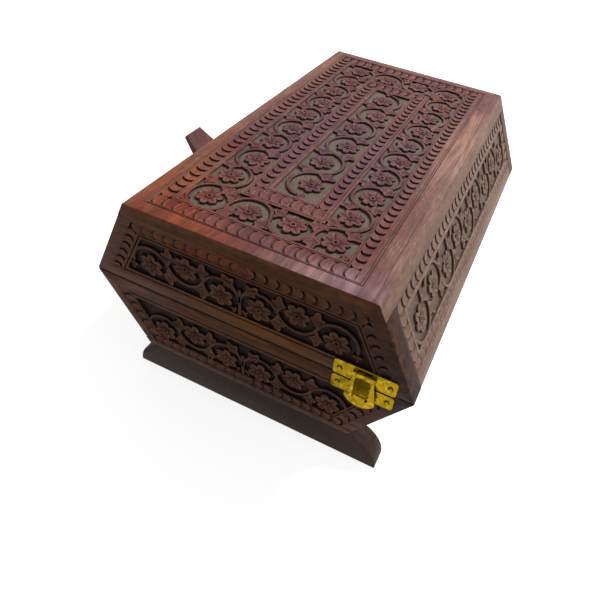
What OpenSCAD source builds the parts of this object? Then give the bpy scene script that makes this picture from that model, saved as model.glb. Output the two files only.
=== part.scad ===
// Carved hexagonal jewelry box with a side-hinged lid, two bracket feet,
// a wooden lid stop and a small sprung brass hasp on the front end.
// Millimetres, +Z up. The box stands on Z = 0, its length runs along Y,
// the hinges are on the -X side and the hasp is on the -Y end.

/* [Box] */
// Length over the end boards
box_length = 206; // [170:1:250]
// Width across the ridges, where the lid meets the base
ridge_width = 152; // [144:1:170]
// Width of the flat top
top_width = 108; // [98:1:118]
// Width of the base's underside
bottom_width = 106; // [98:1:118]
// Height of the lid above the seam
lid_height = 43.5; // [40:0.5:55]
// Height of the base below the seam, without the feet
base_height = 38; // [36:0.5:50]
// Gap between the two rims when the box is shut
seam_gap = 0.5; // [0.3:0.1:1]

/* [Boards] */
// Thickness of the four end boards
end_board = 9; // [8:0.5:11]
// Thickness of the four slanted side boards
side_board = 7; // [6:0.5:9]
// Thickness of the top board
top_board = 7; // [6:0.5:9]
// Thickness of the bottom board
bottom_board = 3; // [3:0.5:6]
// Thickness of the velvet lining
lining = 0.8; // [0.5:0.1:1.5]
// Bare wood left between each rim and the lining
lining_reveal = 1.5; // [0.5:0.5:4]

/* [Carving] */
// Depth of the sunk fields that hold the floral carving
carve_depth = 1.2; // [0.8:0.1:1.8]
// From the seam to the sunk field of an end board
end_field_start = 8.5; // [8:0.5:10]
// Height of the sunk field of a lid end board
lid_field_height = 20.5; // [16:0.5:22]
// Height of the sunk field of a base end board
base_field_height = 20.5; // [16:0.5:22]
// Margin between an end field and the slanted edge, measured level
end_field_margin = 14.5; // [12:0.5:18]
// From the ridge to the sunk field of a side board, up the slope
side_field_start = 13; // [12:0.5:14]
// Width of a lid side board's sunk field
lid_side_field = 20; // [16:0.5:21]
// Width of a base side board's sunk field
base_side_field = 18; // [16:0.5:19]
// From the box end to the fields of the side boards
side_field_end = 16.5; // [15:0.5:22]
// Margin round the top board's outer floral border
top_margin = 15; // [12:0.5:17]
// Width of the top board's outer floral border
top_border = 18.5; // [16:0.5:20]
// Width of the raised frame inside that border
top_frame = 9.5; // [7:0.5:10]
// How far the carved flowers and stems stop below the boards' faces
relief_drop = 0.2; // [0.1:0.1:0.4]
// Petals of a flower
petals = 7; // [5:1:9]
// Radius of a flower
flower_r = 6.2; // [5:0.2:6.6]
// Radius of a petal's round tip
petal_r = 2.4; // [2.2:0.1:2.8]
// Radius of a flower's hollow eye
eye_r = 1.1; // [0.8:0.1:1.5]
// Width of the vine's stem
stem_width = 1.7; // [1.2:0.1:2]
// Radius of the bud where the stem changes sides
bud_r = 1.7; // [1.5:0.1:2]
// Distance between the flowers of a row
flower_pitch = 18; // [17:0.5:22]
// How far a flower stands off the middle of its row
flower_sway = 1.3; // [0:0.1:2]
// The same on the end boards, whose vine waves more
end_sway = 2.6; // [1:0.2:3]

/* [Feet] */
// Height of the feet
foot_height = 29.5; // [24:0.5:40]
// Thickness of a foot board
foot_board = 10; // [8:0.5:14]
// Setback of a foot from the box end
foot_setback = 7; // [3:0.5:15]
// Radius of the round ends
foot_round = 18; // [14:0.5:20]
// Reach of a foot past the base's bottom edge
foot_reach = 15; // [10:0.5:17]
// Radius of the hollow above the round end
foot_hollow = 3.5; // [2:0.5:4]

/* [Lid stop] */
// How far the lid opens, in degrees
lid_open_angle = 77; // [72:1:85]
// Length of the stop above the ridge
stop_reach = 26.5; // [20:0.5:32]
// Length of the stop glued and screwed to the base
stop_grip = 28; // [24:0.5:30]
// Thickness at the tip
stop_tip = 2.2; // [1.6:0.1:4]
// Thickness beside the ridge
stop_body = 7; // [5:0.5:9]
// Thickness at the lower end
stop_heel = 3; // [2.5:0.1:5]
// Width of the lower part
stop_width = 23; // [16:0.5:30]
// Width at the tip
stop_tip_width = 12; // [8:0.5:15]

/* [Hinges] */
// Length of each hinge
hinge_length = 20; // [16:0.5:26]
// Width of each leaf from the pin's axis
leaf_width = 12; // [10:0.5:15]
// Thickness of the leaf
leaf_t = 0.8; // [0.6:0.1:0.9]
// Outer radius of the knuckles
knuckle_r = 1.7; // [1.7:0.1:2.2]
// Radius of the hinge pin
hinge_pin_r = 0.8; // [0.6:0.05:0.85]
// From each box end to the middle of its hinge
hinge_inset = 38; // [30:1:55]

/* [Hasp] */
// Width of the two plates
plate_width = 26.7; // [24:0.1:28]
// Height of the upper plate
upper_plate_height = 8.4; // [8.2:0.1:9.5]
// Height of the lower plate
lower_plate_height = 7.6; // [7:0.1:9]
// Thickness of the sheet brass
plate_t = 0.8; // [0.6:0.1:1]
// From the opening ridge to the middle of the hasp
hasp_inset = 21.1; // [20:0.1:40]
// Width of the sprung tongue in the middle of the hasp
tongue_width = 5.8; // [5:0.1:6.4]
// Reach of the hasp below the seam
hasp_reach = 12.2; // [12:0.1:13]
// Radius of the hasp pin
hasp_pin_r = 0.55; // [0.45:0.05:0.65]

/* [Fasteners] */
// Radius of the brass pins' and wood screws' shanks
screw_r = 0.8; // [0.6:0.05:0.9]
// Radius of their heads
screw_head_r = 1.6; // [1.4:0.1:1.8]
// Height of their heads
screw_head_h = 0.6; // [0.4:0.1:0.9]
// Length of the shanks in the wood
screw_length = 4.5; // [3:0.5:5]
// Radius of the screws that hold the feet
foot_screw_r = 1.5; // [1.2:0.1:1.8]
// Length of those screws below the bottom board
foot_screw_bite = 12; // [8:0.5:18]

/* [Hidden] */

$fn = 48;
cut = 1;              // how far a cutting shape passes the surface it cuts
fit = 0.05;           // radial clearance of a pin or screw in its hole
touch_gap = 0.3;      // clearance between pieces that move past each other
root = 0.3;           // how far the carved relief runs into its board

// Heights
base_z = foot_height;
seam_z = base_z + base_height;
top_z = seam_z + lid_height;
base_rim_z = seam_z - seam_gap / 2;
lid_rim_z = seam_z + seam_gap / 2;
floor_z = base_z + bottom_board;
ceiling_z = top_z - top_board;

// Lean of the side boards, and their angles from the level
lid_lean = (ridge_width - top_width) / 2 / lid_height;
base_lean = (ridge_width - bottom_width) / 2 / base_height;
lid_angle = atan(1 / lid_lean);
base_angle = atan(1 / base_lean);
lid_wall = side_board / sin(lid_angle);
base_wall = side_board / sin(base_angle);
half_length = box_length / 2;
inner_half_length = half_length - end_board;

// Half the box's width at height z
function half_width(z) = ridge_width / 2
    - (z >= seam_z ? (z - seam_z) * lid_lean : (seam_z - z) * base_lean);

// The hinge pin's axis lies one knuckle radius off both side faces
hinge_x = -ridge_width / 2
    - knuckle_r * (cos(lid_angle) + cos(base_angle)) / sin(lid_angle + base_angle);
hinge_z = seam_z
    + knuckle_r * (sin(base_angle) - sin(lid_angle)) / sin(lid_angle + base_angle);
hinge_y = half_length - hinge_inset;
hinge_bore_r = hinge_pin_r + fit;
knuckles = 5;
hinge_screw_x = leaf_width * 0.62;
hinge_screw_y = hinge_length * 0.3;

// The stop's upper face lies along the lid's side face when the lid is open
open_angle = lid_angle + lid_open_angle;
open_dir = [cos(open_angle), sin(open_angle)];
open_normal = [-sin(open_angle), cos(open_angle)];
slope_up = [-cos(base_angle), sin(base_angle)];
slope_normal = [-sin(base_angle), -cos(base_angle)];
ridge_point = [-ridge_width / 2, seam_z];
stop_plane = [hinge_x, hinge_z] - (knuckle_r - touch_gap) * open_normal;
stop_root = ridge_point + ((stop_plane - ridge_point) * open_normal) * open_normal;
stop_end = stop_root + stop_reach * open_dir;
stop_back = stop_end + stop_tip * open_normal;
stop_low = ridge_point - stop_grip * slope_up;
stop_outline = [stop_low, ridge_point + touch_gap * slope_up, stop_end, stop_back,
    ridge_point + stop_body * slope_normal, stop_low + stop_heel * slope_normal];
stop_screw_places = [stop_grip * 0.35, stop_grip * 0.8];

// Hasp, measured from the seam and outwards from the front face
knuckle_out = 1.25;
hasp_axis_out = plate_t + knuckle_out + touch_gap / 2;
hasp_axis_up = 6.6;
ear_width = 1.8;
hasp_t = 0.7;
hasp_side = touch_gap / 2;
hasp_bow_r = 7.4;     // round lower end of the hasp
hasp_waist_z = -8;    // where its straight sides meet that round
hasp_shoulder = 1.5;  // step from the eye out to the shield
hasp_slit = 0.45;     // gap on each side of the tongue
hasp_rim = 1.4;       // brass left under the window
window_head = 0.9;    // brass left above the window
window_point = 3.6;   // height of the window's pointed lower part
tongue_bend_z = 1.4;  // where the tongue lies nearest the box
tongue_dip = 0.55;
tongue_end_z = -3.3;
hook_z = -5;          // top of the hook
hook_out = 3.6;       // reach of the hook
hook_t = 0.65;
hook_bend = 1.2;      // outer radius of its bend
hook_point = 3.7;     // height of its pointed end
hook_end_z = hasp_rim + 0.5 - hasp_reach;
nail_offset = plate_width * 0.4;
nail_r = screw_r * 0.8;
nail_head_r = screw_head_r * 0.8;
hasp_x = ridge_width / 2 - hasp_inset;
tongue_bow = 0.3;
hasp_out = hasp_axis_out + knuckle_out + tongue_bow;

// The origin is on the ground, under the middle of the outer bounds
box_x = -(stop_back[0] + half_width(lid_rim_z)) / 2;
box_y = hasp_out / 2;

wood = [0.33, 0.2, 0.14];
dark_wood = [0.22, 0.13, 0.1];
top_wood = [0.45, 0.24, 0.19];
velvet = [0.42, 0.04, 0.08];
brass = [0.85, 0.68, 0.2];
steel = [0.45, 0.44, 0.42];

// ---- shared shapes ----

module at_box() {
    translate([box_x, box_y, 0])
        children();
}

// A profile drawn in X and Z, run along Y
module along(y_from, y_to) {
    translate([0, y_to, 0])
        rotate([90, 0, 0])
            linear_extrude(height = y_to - y_from)
                children();
}

// Cross-section of the box between two heights, drawn in by an inset
module band(z_from, z_to, inset = 0) {
    polygon([
        [-half_width(z_from) + inset, z_from], [half_width(z_from) - inset, z_from],
        [half_width(z_to) - inset, z_to], [-half_width(z_to) + inset, z_to]]);
}

// Cross-section of a slanted sheet between two level insets
module slant(z_from, z_to, outer, inner) {
    polygon([
        [half_width(z_from) - outer, z_from], [half_width(z_to) - outer, z_to],
        [half_width(z_to) - inner, z_to], [half_width(z_from) - inner, z_from]]);
}

// Round-headed screw or pin along Z, its head resting on Z = 0
module round_screw(shank_r, head_r, head_h, length) {
    cylinder(r1 = head_r, r2 = head_r * 0.7, h = head_h);
    translate([0, 0, -length])
        cylinder(r = shank_r, h = length + head_h / 2);
}

// ---- carving: rows of flowers under a stem that arches over each in turn ----

function heading(from, to) = atan2(to[1] - from[1], to[0] - from[0]);

// Places at equal steps on a line through a middle, with one more to aim at past each end
function row_places(count, pitch, middle, sway) = [for (i = [-1 : count])
    middle + [(i - (count - 1) / 2) * pitch, i % 2 == 0 ? sway : -sway]];

module flower() {
    difference() {
        union() {
            circle(r = flower_r - petal_r);
            for (i = [0 : petals - 1])
                rotate(360 * i / petals)
                    translate([flower_r - petal_r, 0])
                        circle(r = petal_r);
        }
        circle(r = eye_r);
    }
}

// The stem's arch about a flower, from one crossing to the next, clockwise where way is 1
module arch(from, to, way) {
    radius = (norm(from) + norm(to)) / 2;
    trim = bud_r / 2 / radius * 180 / PI;
    turn = ((heading([0, 0], to) - heading([0, 0], from)) % 360 + 360) % 360;
    sweep = way > 0 ? turn - 360 : turn;
    rotate(heading([0, 0], from))
        intersection() {
            difference() {
                circle(r = radius + stem_width / 2);
                circle(r = radius - stem_width / 2);
            }
            polygon(concat([[0, 0]], [for (i = [0 : 4])
                let (a = -way * trim + (sweep + 2 * way * trim) * i / 4)
                2 * radius * [cos(a), sin(a)]]));
        }
}

// The first and last places are only aimed at
module vine(places, way) {
    for (i = [1 : len(places) - 2]) {
        before = (places[i - 1] + places[i]) / 2;
        after = (places[i] + places[i + 1]) / 2;
        translate(places[i]) {
            flower();
            arch(before - places[i], after - places[i], i % 2 == 1 ? way : -way);
        }
        translate(after)
            circle(r = bud_r);
    }
}

// Three flowers either side of an upright stem, about the middle of an end board's field
module end_carving(field_height) {
    places = [for (i = [-1 : 3])
        [flower_pitch * (i + 0.5), i == 1 || i == 3 ? end_sway : -end_sway]];
    for (side = [0, 1])
        mirror([side, 0])
            vine(places, 1);
    translate([0, -end_sway])
        circle(r = bud_r);
    square([stem_width, field_height + cut], center = true);
}

// ---- ends ----

module lid_end() {
    difference() {
        along(-half_length, -inner_half_length)
            band(lid_rim_z, ceiling_z);
        along(-half_length - cut, -half_length + carve_depth)
            band(seam_z + end_field_start, seam_z + end_field_start + lid_field_height,
                end_field_margin);
    }
    along(-half_length + relief_drop, -half_length + carve_depth + root)
        translate([0, seam_z + end_field_start + lid_field_height / 2])
            end_carving(lid_field_height);
}

module base_end() {
    difference() {
        along(-half_length, -inner_half_length)
            band(floor_z, base_rim_z);
        along(-half_length - cut, -half_length + carve_depth)
            band(seam_z - end_field_start - base_field_height, seam_z - end_field_start,
                end_field_margin);
    }
    along(-half_length + relief_drop, -half_length + carve_depth + root)
        translate([0, seam_z - end_field_start - base_field_height / 2])
            end_carving(base_field_height);
}

// ---- slanted sides, made for the opening (+X) side and mirrored for the hinge side ----

// A row of flowers along the box, cut downwards from Z = 0
module side_carving() {
    run = box_length - 2 * side_field_end;
    count = floor(run / flower_pitch);
    linear_extrude(height = carve_depth - relief_drop + root)
        rotate(90)
            vine(row_places(count, flower_pitch, [0, 0], flower_sway), -1);
}

module lid_side() {
    difference() {
        along(-inner_half_length, inner_half_length)
            slant(lid_rim_z, ceiling_z, 0, lid_wall);
        along(-half_length + side_field_end, half_length - side_field_end)
            translate([ridge_width / 2, seam_z])
                rotate(180 - lid_angle)
                    translate([side_field_start, -cut])
                        square([lid_side_field, carve_depth + cut]);
    }
    translate([ridge_width / 2, 0, seam_z])
        rotate([0, 180 + lid_angle, 0])
            translate([side_field_start + lid_side_field / 2, 0, relief_drop])
                side_carving();
}

module base_side() {
    difference() {
        along(-inner_half_length, inner_half_length)
            slant(floor_z, base_rim_z, 0, base_wall);
        along(-half_length + side_field_end, half_length - side_field_end)
            translate([ridge_width / 2, seam_z])
                rotate(180 + base_angle)
                    translate([side_field_start, -carve_depth])
                        square([base_side_field, carve_depth + cut]);
    }
    translate([ridge_width / 2, 0, seam_z])
        rotate([0, 180 - base_angle, 0])
            mirror([0, 0, 1])
                translate([side_field_start + base_side_field / 2, 0, relief_drop])
                    side_carving();
}

// ---- hinges: local X runs along the side face from the pin, local Z points out ----

module on_lid_face() {
    translate([hinge_x, 0, hinge_z])
        rotate([0, -lid_angle, 0])
            children();
}

module on_base_face() {
    translate([hinge_x, 0, hinge_z])
        rotate([0, base_angle, 0])
            mirror([0, 0, 1])
                children();
}

module at_each_hinge() {
    for (side = [-1, 1])
        translate([0, side * hinge_y, 0])
            children();
}

// A rolled leaf with every other knuckle, starting at knuckle number first
module leaf(first) {
    pitch = hinge_length / knuckles;
    plate_start = knuckle_r + touch_gap;
    difference() {
        union() {
            along(-hinge_length / 2, hinge_length / 2)
                translate([plate_start, -knuckle_r])
                    square([leaf_width - plate_start, leaf_t]);
            for (i = [first : 2 : knuckles - 1])
                along(-hinge_length / 2 + i * pitch + touch_gap / 4,
                    -hinge_length / 2 + (i + 1) * pitch - touch_gap / 4) {
                    circle(r = knuckle_r);
                    translate([0, -knuckle_r])
                        square([plate_start + cut, leaf_t]);
                }
        }
        along(-hinge_length / 2 - cut, hinge_length / 2 + cut)
            circle(r = hinge_bore_r);
        at_hinge_screws()
            cylinder(r = screw_r + fit, h = knuckle_r * 4, center = true);
    }
}

module at_hinge_screws() {
    for (side = [-1, 1])
        translate([hinge_screw_x, side * hinge_screw_y, 0])
            children();
}

module hinge_screw() {
    translate([0, 0, -knuckle_r + leaf_t])
        round_screw(screw_r, screw_head_r, screw_head_h, leaf_t + screw_length);
}

module hinge_screw_hole() {
    translate([0, 0, -knuckle_r - screw_length - fit])
        cylinder(r = screw_r + fit, h = screw_length + fit + cut);
}

// ---- the hasp's own place: X across, Y out of the front face negative, Z up from the seam ----

module at_hasp() {
    translate([hasp_x, -half_length, seam_z])
        children();
}

// A profile drawn as [outwards, up], run across from x_from to x_to
module across(x_from, x_to) {
    translate([x_from, 0, 0])
        rotate([90, 0, 90])
            linear_extrude(height = x_to - x_from)
                mirror([1, 0])
                    children();
}

// A shape drawn as [across, up], from out_from to out_to in front of the face
module facing(out_from, out_to) {
    translate([0, -out_from, 0])
        rotate([90, 0, 0])
            linear_extrude(height = out_to - out_from)
                children();
}

module at_nails(up) {
    for (side = [-1, 1])
        translate([side * nail_offset, 0, up])
            rotate([90, 0, 0])
                children();
}

module nail() {
    translate([0, 0, plate_t])
        round_screw(nail_r, nail_head_r, screw_head_h, plate_t + screw_length);
}

module nail_hole(depth) {
    translate([0, 0, -depth - fit])
        cylinder(r = nail_r + fit, h = depth + fit + plate_t + cut);
}

upper_plate_low = seam_gap;
lower_plate_high = -seam_gap;
upper_nail_z = upper_plate_low + upper_plate_height * 0.47;
lower_nail_z = lower_plate_high - lower_plate_height * 0.5;

// ================= base =================

module base_front_end() {
    color(wood)
        at_box()
            difference() {
                base_end();
                at_hasp()
                    at_nails(lower_nail_z)
                        nail_hole(screw_length);
            }
}

module base_rear_end() {
    color(wood)
        at_box()
            mirror([0, 1, 0])
                base_end();
}

module base_hinge_side() {
    color(wood)
        at_box()
            difference() {
                mirror([1, 0, 0])
                    base_side();
                on_base_face() {
                    at_each_hinge()
                        at_hinge_screws()
                            hinge_screw_hole();
                    at_stop_screws()
                        hinge_screw_hole();
                }
            }
}

module base_opening_side() {
    color(wood)
        at_box()
            base_side();
}

module bottom_board() {
    color(dark_wood)
        at_box()
            difference() {
                along(-half_length, half_length)
                    band(base_z, floor_z);
                at_foot_screws()
                    translate([0, 0, base_z - cut]) {
                        cylinder(r = foot_screw_r + fit, h = bottom_board + 2 * cut);
                        translate([0, 0, cut + bottom_board - foot_screw_r])
                            cylinder(r = foot_screw_r * 2 + fit, h = foot_screw_r + cut);
                    }
            }
}

module base_floor_lining() {
    color(velvet)
        at_box()
            along(-inner_half_length, inner_half_length)
                band(floor_z, floor_z + lining, base_wall);
}

module base_wall_lining() {
    low = floor_z + lining;
    high = base_rim_z - lining_reveal;
    sheet = lining / sin(base_angle);
    color(velvet)
        at_box() {
            for (side = [0, 1])
                mirror([side, 0, 0])
                    along(-inner_half_length, inner_half_length)
                        slant(low, high, base_wall, base_wall + sheet);
            for (side = [0, 1])
                mirror([0, side, 0])
                    along(-inner_half_length, -inner_half_length + lining)
                        band(low, high, base_wall + sheet);
        }
}

// Foot profile: a neck under the base, a small hollow, and a round end on the ground
module foot_profile() {
    neck = bottom_width / 2 - touch_gap;
    round_x = bottom_width / 2 + foot_reach - foot_round;
    hollow_x = neck + foot_hollow;
    hollow_z = sqrt(pow(foot_round + foot_hollow, 2) - pow(hollow_x - round_x, 2));
    translate([-neck, 0])
        square([2 * neck, base_z]);
    for (side = [0, 1])
        mirror([side, 0]) {
            translate([round_x, 0])
                intersection() {
                    circle(r = foot_round);
                    square(foot_round);
                }
            difference() {
                polygon([[round_x, 0], [hollow_x, hollow_z], [neck, hollow_z]]);
                translate([hollow_x, hollow_z])
                    circle(r = foot_hollow);
            }
        }
}

module foot() {
    front = -half_length + foot_setback;
    difference() {
        along(front, front + foot_board)
            foot_profile();
        at_foot_screws()
            translate([0, 0, base_z - foot_screw_bite - fit])
                cylinder(r = foot_screw_r + fit, h = foot_screw_bite + fit + cut);
    }
}

module front_foot() {
    color(dark_wood)
        at_box()
            foot();
}

module rear_foot() {
    color(dark_wood)
        at_box()
            mirror([0, 1, 0])
                foot();
}

module at_foot_screws() {
    for (x = [-1, 1], y = [-1, 1])
        translate([x * bottom_width / 4,
                y * (half_length - foot_setback - foot_board / 2), 0])
            children();
}

module foot_screws() {
    color(steel)
        at_box()
            at_foot_screws() {
                translate([0, 0, base_z - foot_screw_bite])
                    cylinder(r = foot_screw_r, h = foot_screw_bite + bottom_board);
                translate([0, 0, floor_z - foot_screw_r])
                    cylinder(r1 = foot_screw_r, r2 = foot_screw_r * 2, h = foot_screw_r);
            }
}

// Wedge-shaped wooden strip; its width narrows from the ridge to the tip
module lid_stop() {
    wide = stop_width / 2;
    narrow = stop_tip_width / 2;
    run = stop_reach + touch_gap;
    color(wood)
        at_box()
            difference() {
                intersection() {
                    along(-wide, wide)
                        polygon(stop_outline);
                    translate([ridge_point[0], 0, ridge_point[1]])
                        rotate([0, base_angle - 180, 0])
                            linear_extrude(height = stop_reach * 2, center = true)
                                polygon([
                                    [-stop_grip - cut, -wide], [0, -wide], [run, -narrow],
                                    [run, narrow], [0, wide], [-stop_grip - cut, wide]]);
                }
                on_base_face()
                    at_stop_screws() {
                        translate([0, 0, -knuckle_r - cut])
                            cylinder(r = screw_r + fit, h = stop_reach);
                        translate([0, 0, stop_heel - knuckle_r])
                            cylinder(r = screw_head_r + fit, h = stop_reach);
                    }
            }
}

module at_stop_screws() {
    ridge_x = knuckle_r * (1 + cos(lid_angle + base_angle)) / sin(lid_angle + base_angle);
    for (place = stop_screw_places)
        translate([ridge_x + place, 0, 0])
            children();
}

module lid_stop_screws() {
    color(steel)
        at_box()
            on_base_face()
                at_stop_screws()
                    translate([0, 0, stop_heel - knuckle_r])
                        round_screw(screw_r, screw_head_r, screw_head_h,
                            stop_heel + screw_length);
}

module base_hinge_leaves() {
    color(brass)
        at_box()
            on_base_face()
                at_each_hinge()
                    leaf(0);
}

module hinge_pins() {
    color(brass)
        at_box()
            translate([hinge_x, 0, hinge_z])
                at_each_hinge()
                    along(-hinge_length / 2, hinge_length / 2)
                        circle(r = hinge_pin_r);
}

module base_hinge_screws() {
    color(brass)
        at_box()
            on_base_face()
                at_each_hinge()
                    at_hinge_screws()
                        hinge_screw();
}

// Duck bill seen from the side: a shank, a bend and a bill that hangs down
module hook_profile() {
    bend_out = hook_out - hook_bend;
    bend_z = hook_z - hook_bend;
    translate([plate_t / 2, hook_z - hook_t])
        square([bend_out - plate_t / 2, hook_t]);
    intersection() {
        translate([bend_out, bend_z])
            difference() {
                circle(r = hook_bend);
                circle(r = hook_bend - hook_t);
            }
        translate([bend_out, bend_z])
            square(hook_bend);
    }
    translate([hook_out - hook_t, hook_end_z])
        square([hook_t, bend_z - hook_end_z]);
}

// Lower plate with its duck-bill hook
module catch_plate() {
    low = lower_plate_high - lower_plate_height;
    half = tongue_width * 0.45;
    color(brass)
        at_box()
            at_hasp() {
                difference() {
                    facing(0, plate_t)
                        translate([-plate_width / 2, low])
                            square([plate_width, lower_plate_height]);
                    at_nails(lower_nail_z)
                        nail_hole(0);
                }
                intersection() {
                    across(-half, half)
                        hook_profile();
                    facing(0, hook_out + cut)
                        polygon([
                            [-half, 0], [half, 0], [half, hook_end_z + hook_point],
                            [0, hook_end_z], [-half, hook_end_z + hook_point]]);
                }
            }
}

module catch_nails() {
    color(brass)
        at_box()
            at_hasp()
                at_nails(lower_nail_z)
                    nail();
}

// ================= lid =================

module lid_front_end() {
    color(wood)
        at_box()
            difference() {
                lid_end();
                at_hasp()
                    at_nails(upper_nail_z)
                        nail_hole(screw_length);
            }
}

module lid_rear_end() {
    color(wood)
        at_box()
            mirror([0, 1, 0])
                lid_end();
}

module lid_hinge_side() {
    color(wood)
        at_box()
            difference() {
                mirror([1, 0, 0])
                    lid_side();
                on_lid_face()
                    at_each_hinge()
                        at_hinge_screws()
                            hinge_screw_hole();
            }
}

module lid_opening_side() {
    color(wood)
        at_box()
            lid_side();
}

// Rectangle centred on the top, drawn in by an inset from the top's edges
module top_rectangle(inset) {
    square([top_width - 2 * inset, box_length - 2 * inset], center = true);
}

// Places along one edge of the outer border, from its first corner to before the next
function border_edge(from, to, inwards, first) =
    let (count = max(2, round(norm(to - from) / flower_pitch)))
    [for (i = [0 : count - 1]) from + (to - from) * i / count
        + (i == 0 ? [0, 0] : inwards * ((first + i) % 2 == 0 ? flower_sway : -flower_sway))];

// The border's flowers in order round the board. Opposite edges hold as many, so the
// stem's alternate arches meet where it closes.
function border_places() =
    let (
        x = top_width / 2 - top_margin - top_border / 2,
        y = half_length - top_margin - top_border / 2,
        across = max(2, round(2 * x / flower_pitch)))
    concat(
        border_edge([-x, -y], [x, -y], [0, 1], 0),
        border_edge([x, -y], [x, y], [-1, 0], across),
        border_edge([x, y], [-x, y], [0, -1], 0),
        border_edge([-x, y], [-x, -y], [1, 0], across));

module top_carving() {
    border = border_places();
    last = len(border) - 1;
    heart = box_length - 2 * (top_margin + top_border + top_frame);
    vine(concat([border[last]], border, [border[0]]), -1);
    rotate(90)
        vine(row_places(floor(heart / flower_pitch), flower_pitch, [0, 0], -flower_sway), 1);
}

module top_board_panel() {
    color(top_wood)
        at_box() {
            difference() {
                along(-half_length, half_length)
                    band(ceiling_z, top_z);
                translate([0, 0, top_z - carve_depth])
                    linear_extrude(height = carve_depth + cut) {
                        difference() {
                            top_rectangle(top_margin);
                            top_rectangle(top_margin + top_border);
                        }
                        top_rectangle(top_margin + top_border + top_frame);
                    }
                at_brads()
                    translate([0, 0, -top_board - cut])
                        cylinder(r = nail_r + fit, h = top_board + 2 * cut);
            }
            translate([0, 0, top_z - carve_depth - root])
                linear_extrude(height = carve_depth - relief_drop + root)
                    top_carving();
        }
}

module at_brads() {
    for (side = [-1, 1])
        translate([0, side * (half_length - end_board / 3), top_z])
            children();
}

module top_board_brads() {
    color(steel)
        at_box()
            at_brads()
                translate([0, 0, -top_board])
                    cylinder(r = nail_r, h = top_board);
}

module lid_top_lining() {
    color(velvet)
        at_box()
            along(-inner_half_length, inner_half_length)
                band(ceiling_z - lining, ceiling_z, lid_wall);
}

module lid_wall_lining() {
    low = lid_rim_z + lining_reveal;
    high = ceiling_z - lining;
    sheet = lining / sin(lid_angle);
    color(velvet)
        at_box() {
            for (side = [0, 1])
                mirror([side, 0, 0])
                    along(-inner_half_length, inner_half_length)
                        slant(low, high, lid_wall, lid_wall + sheet);
            for (side = [0, 1])
                mirror([0, side, 0])
                    along(-inner_half_length, -inner_half_length + lining)
                        band(low, high, lid_wall + sheet);
        }
}

module lid_hinge_leaves() {
    color(brass)
        at_box()
            on_lid_face()
                at_each_hinge()
                    leaf(1);
}

module lid_hinge_screws() {
    color(brass)
        at_box()
            on_lid_face()
                at_each_hinge()
                    at_hinge_screws()
                        hinge_screw();
}

// Upper plate with the two ears that carry the hasp's pin
module hasp_plate() {
    ear_from = tongue_width / 2 + hasp_side;
    color(brass)
        at_box()
            at_hasp()
                difference() {
                    union() {
                        facing(0, plate_t)
                            translate([-plate_width / 2, upper_plate_low])
                                square([plate_width, upper_plate_height]);
                        for (side = [0, 1])
                            mirror([side, 0, 0])
                                across(ear_from, ear_from + ear_width) {
                                    translate([hasp_axis_out, hasp_axis_up])
                                        circle(r = knuckle_out);
                                    translate([plate_t / 2, hasp_axis_up - knuckle_out])
                                        square([hasp_axis_out - plate_t / 2,
                                            knuckle_out * 2]);
                                }
                    }
                    across(-plate_width, plate_width)
                        translate([hasp_axis_out, hasp_axis_up])
                            circle(r = hasp_pin_r + fit);
                    at_nails(upper_nail_z)
                        nail_hole(0);
                }
}

module hasp_plate_nails() {
    color(brass)
        at_box()
            at_hasp()
                at_nails(upper_nail_z)
                    nail();
}

module hasp_pin() {
    reach = tongue_width / 2 + hasp_side + ear_width;
    color(brass)
        at_box()
            at_hasp()
                across(-reach, reach)
                    translate([hasp_axis_out, hasp_axis_up])
                        circle(r = hasp_pin_r);
}

// ================= hasp =================

// Shield outline seen from the front, around the eye's axis
module hasp_outline() {
    half = tongue_width / 2;
    shoulder_z = hasp_axis_up - knuckle_out - touch_gap / 2;
    bow_z = hasp_bow_r - hasp_reach;
    bow_start = asin((hasp_waist_z - bow_z) / hasp_bow_r);
    bow_steps = 24;
    window_side = half + hasp_slit;
    window_low = hasp_rim - hasp_reach;
    bow = [for (i = [0 : bow_steps])
        let (turn = bow_start - (180 + 2 * bow_start) * i / bow_steps)
            [hasp_bow_r * cos(turn), bow_z + hasp_bow_r * sin(turn)]];
    difference() {
        polygon(concat(
            [[-half - hasp_shoulder, shoulder_z], [-half, shoulder_z], [-half, hasp_axis_up],
                [half, hasp_axis_up], [half, shoulder_z], [half + hasp_shoulder, shoulder_z]],
            bow));
        polygon([
            [-window_side, shoulder_z - window_head], [window_side, shoulder_z - window_head],
            [window_side, window_low + window_point], [0, window_low],
            [-window_side, window_low + window_point]]);
    }
}

// Tongue seen from the side: it dips towards the box and springs out again
module tongue_profile() {
    eye_out = hasp_axis_out + knuckle_out;
    root_inset = knuckle_out * 0.1;
    polygon([
        [eye_out - root_inset, hasp_axis_up], [eye_out - tongue_dip, tongue_bend_z],
        [eye_out + tongue_bow, tongue_end_z], [eye_out + tongue_bow - hasp_t, tongue_end_z],
        [eye_out - tongue_dip - hasp_t, tongue_bend_z],
        [hasp_axis_out + knuckle_out / 2, hasp_axis_up - knuckle_out * 0.6]]);
}

// Shield-shaped hasp with a window, a rolled eye and a bent spring tongue
module hasp() {
    half = tongue_width / 2;
    color(brass)
        at_box()
            at_hasp()
                difference() {
                    union() {
                        facing(hasp_axis_out - hasp_t / 2, hasp_axis_out + hasp_t / 2)
                            hasp_outline();
                        across(-half, half) {
                            translate([hasp_axis_out, hasp_axis_up])
                                circle(r = knuckle_out);
                            tongue_profile();
                        }
                    }
                    across(-half - cut, half + cut)
                        translate([hasp_axis_out, hasp_axis_up])
                            circle(r = hasp_pin_r + fit);
                }
}

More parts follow.
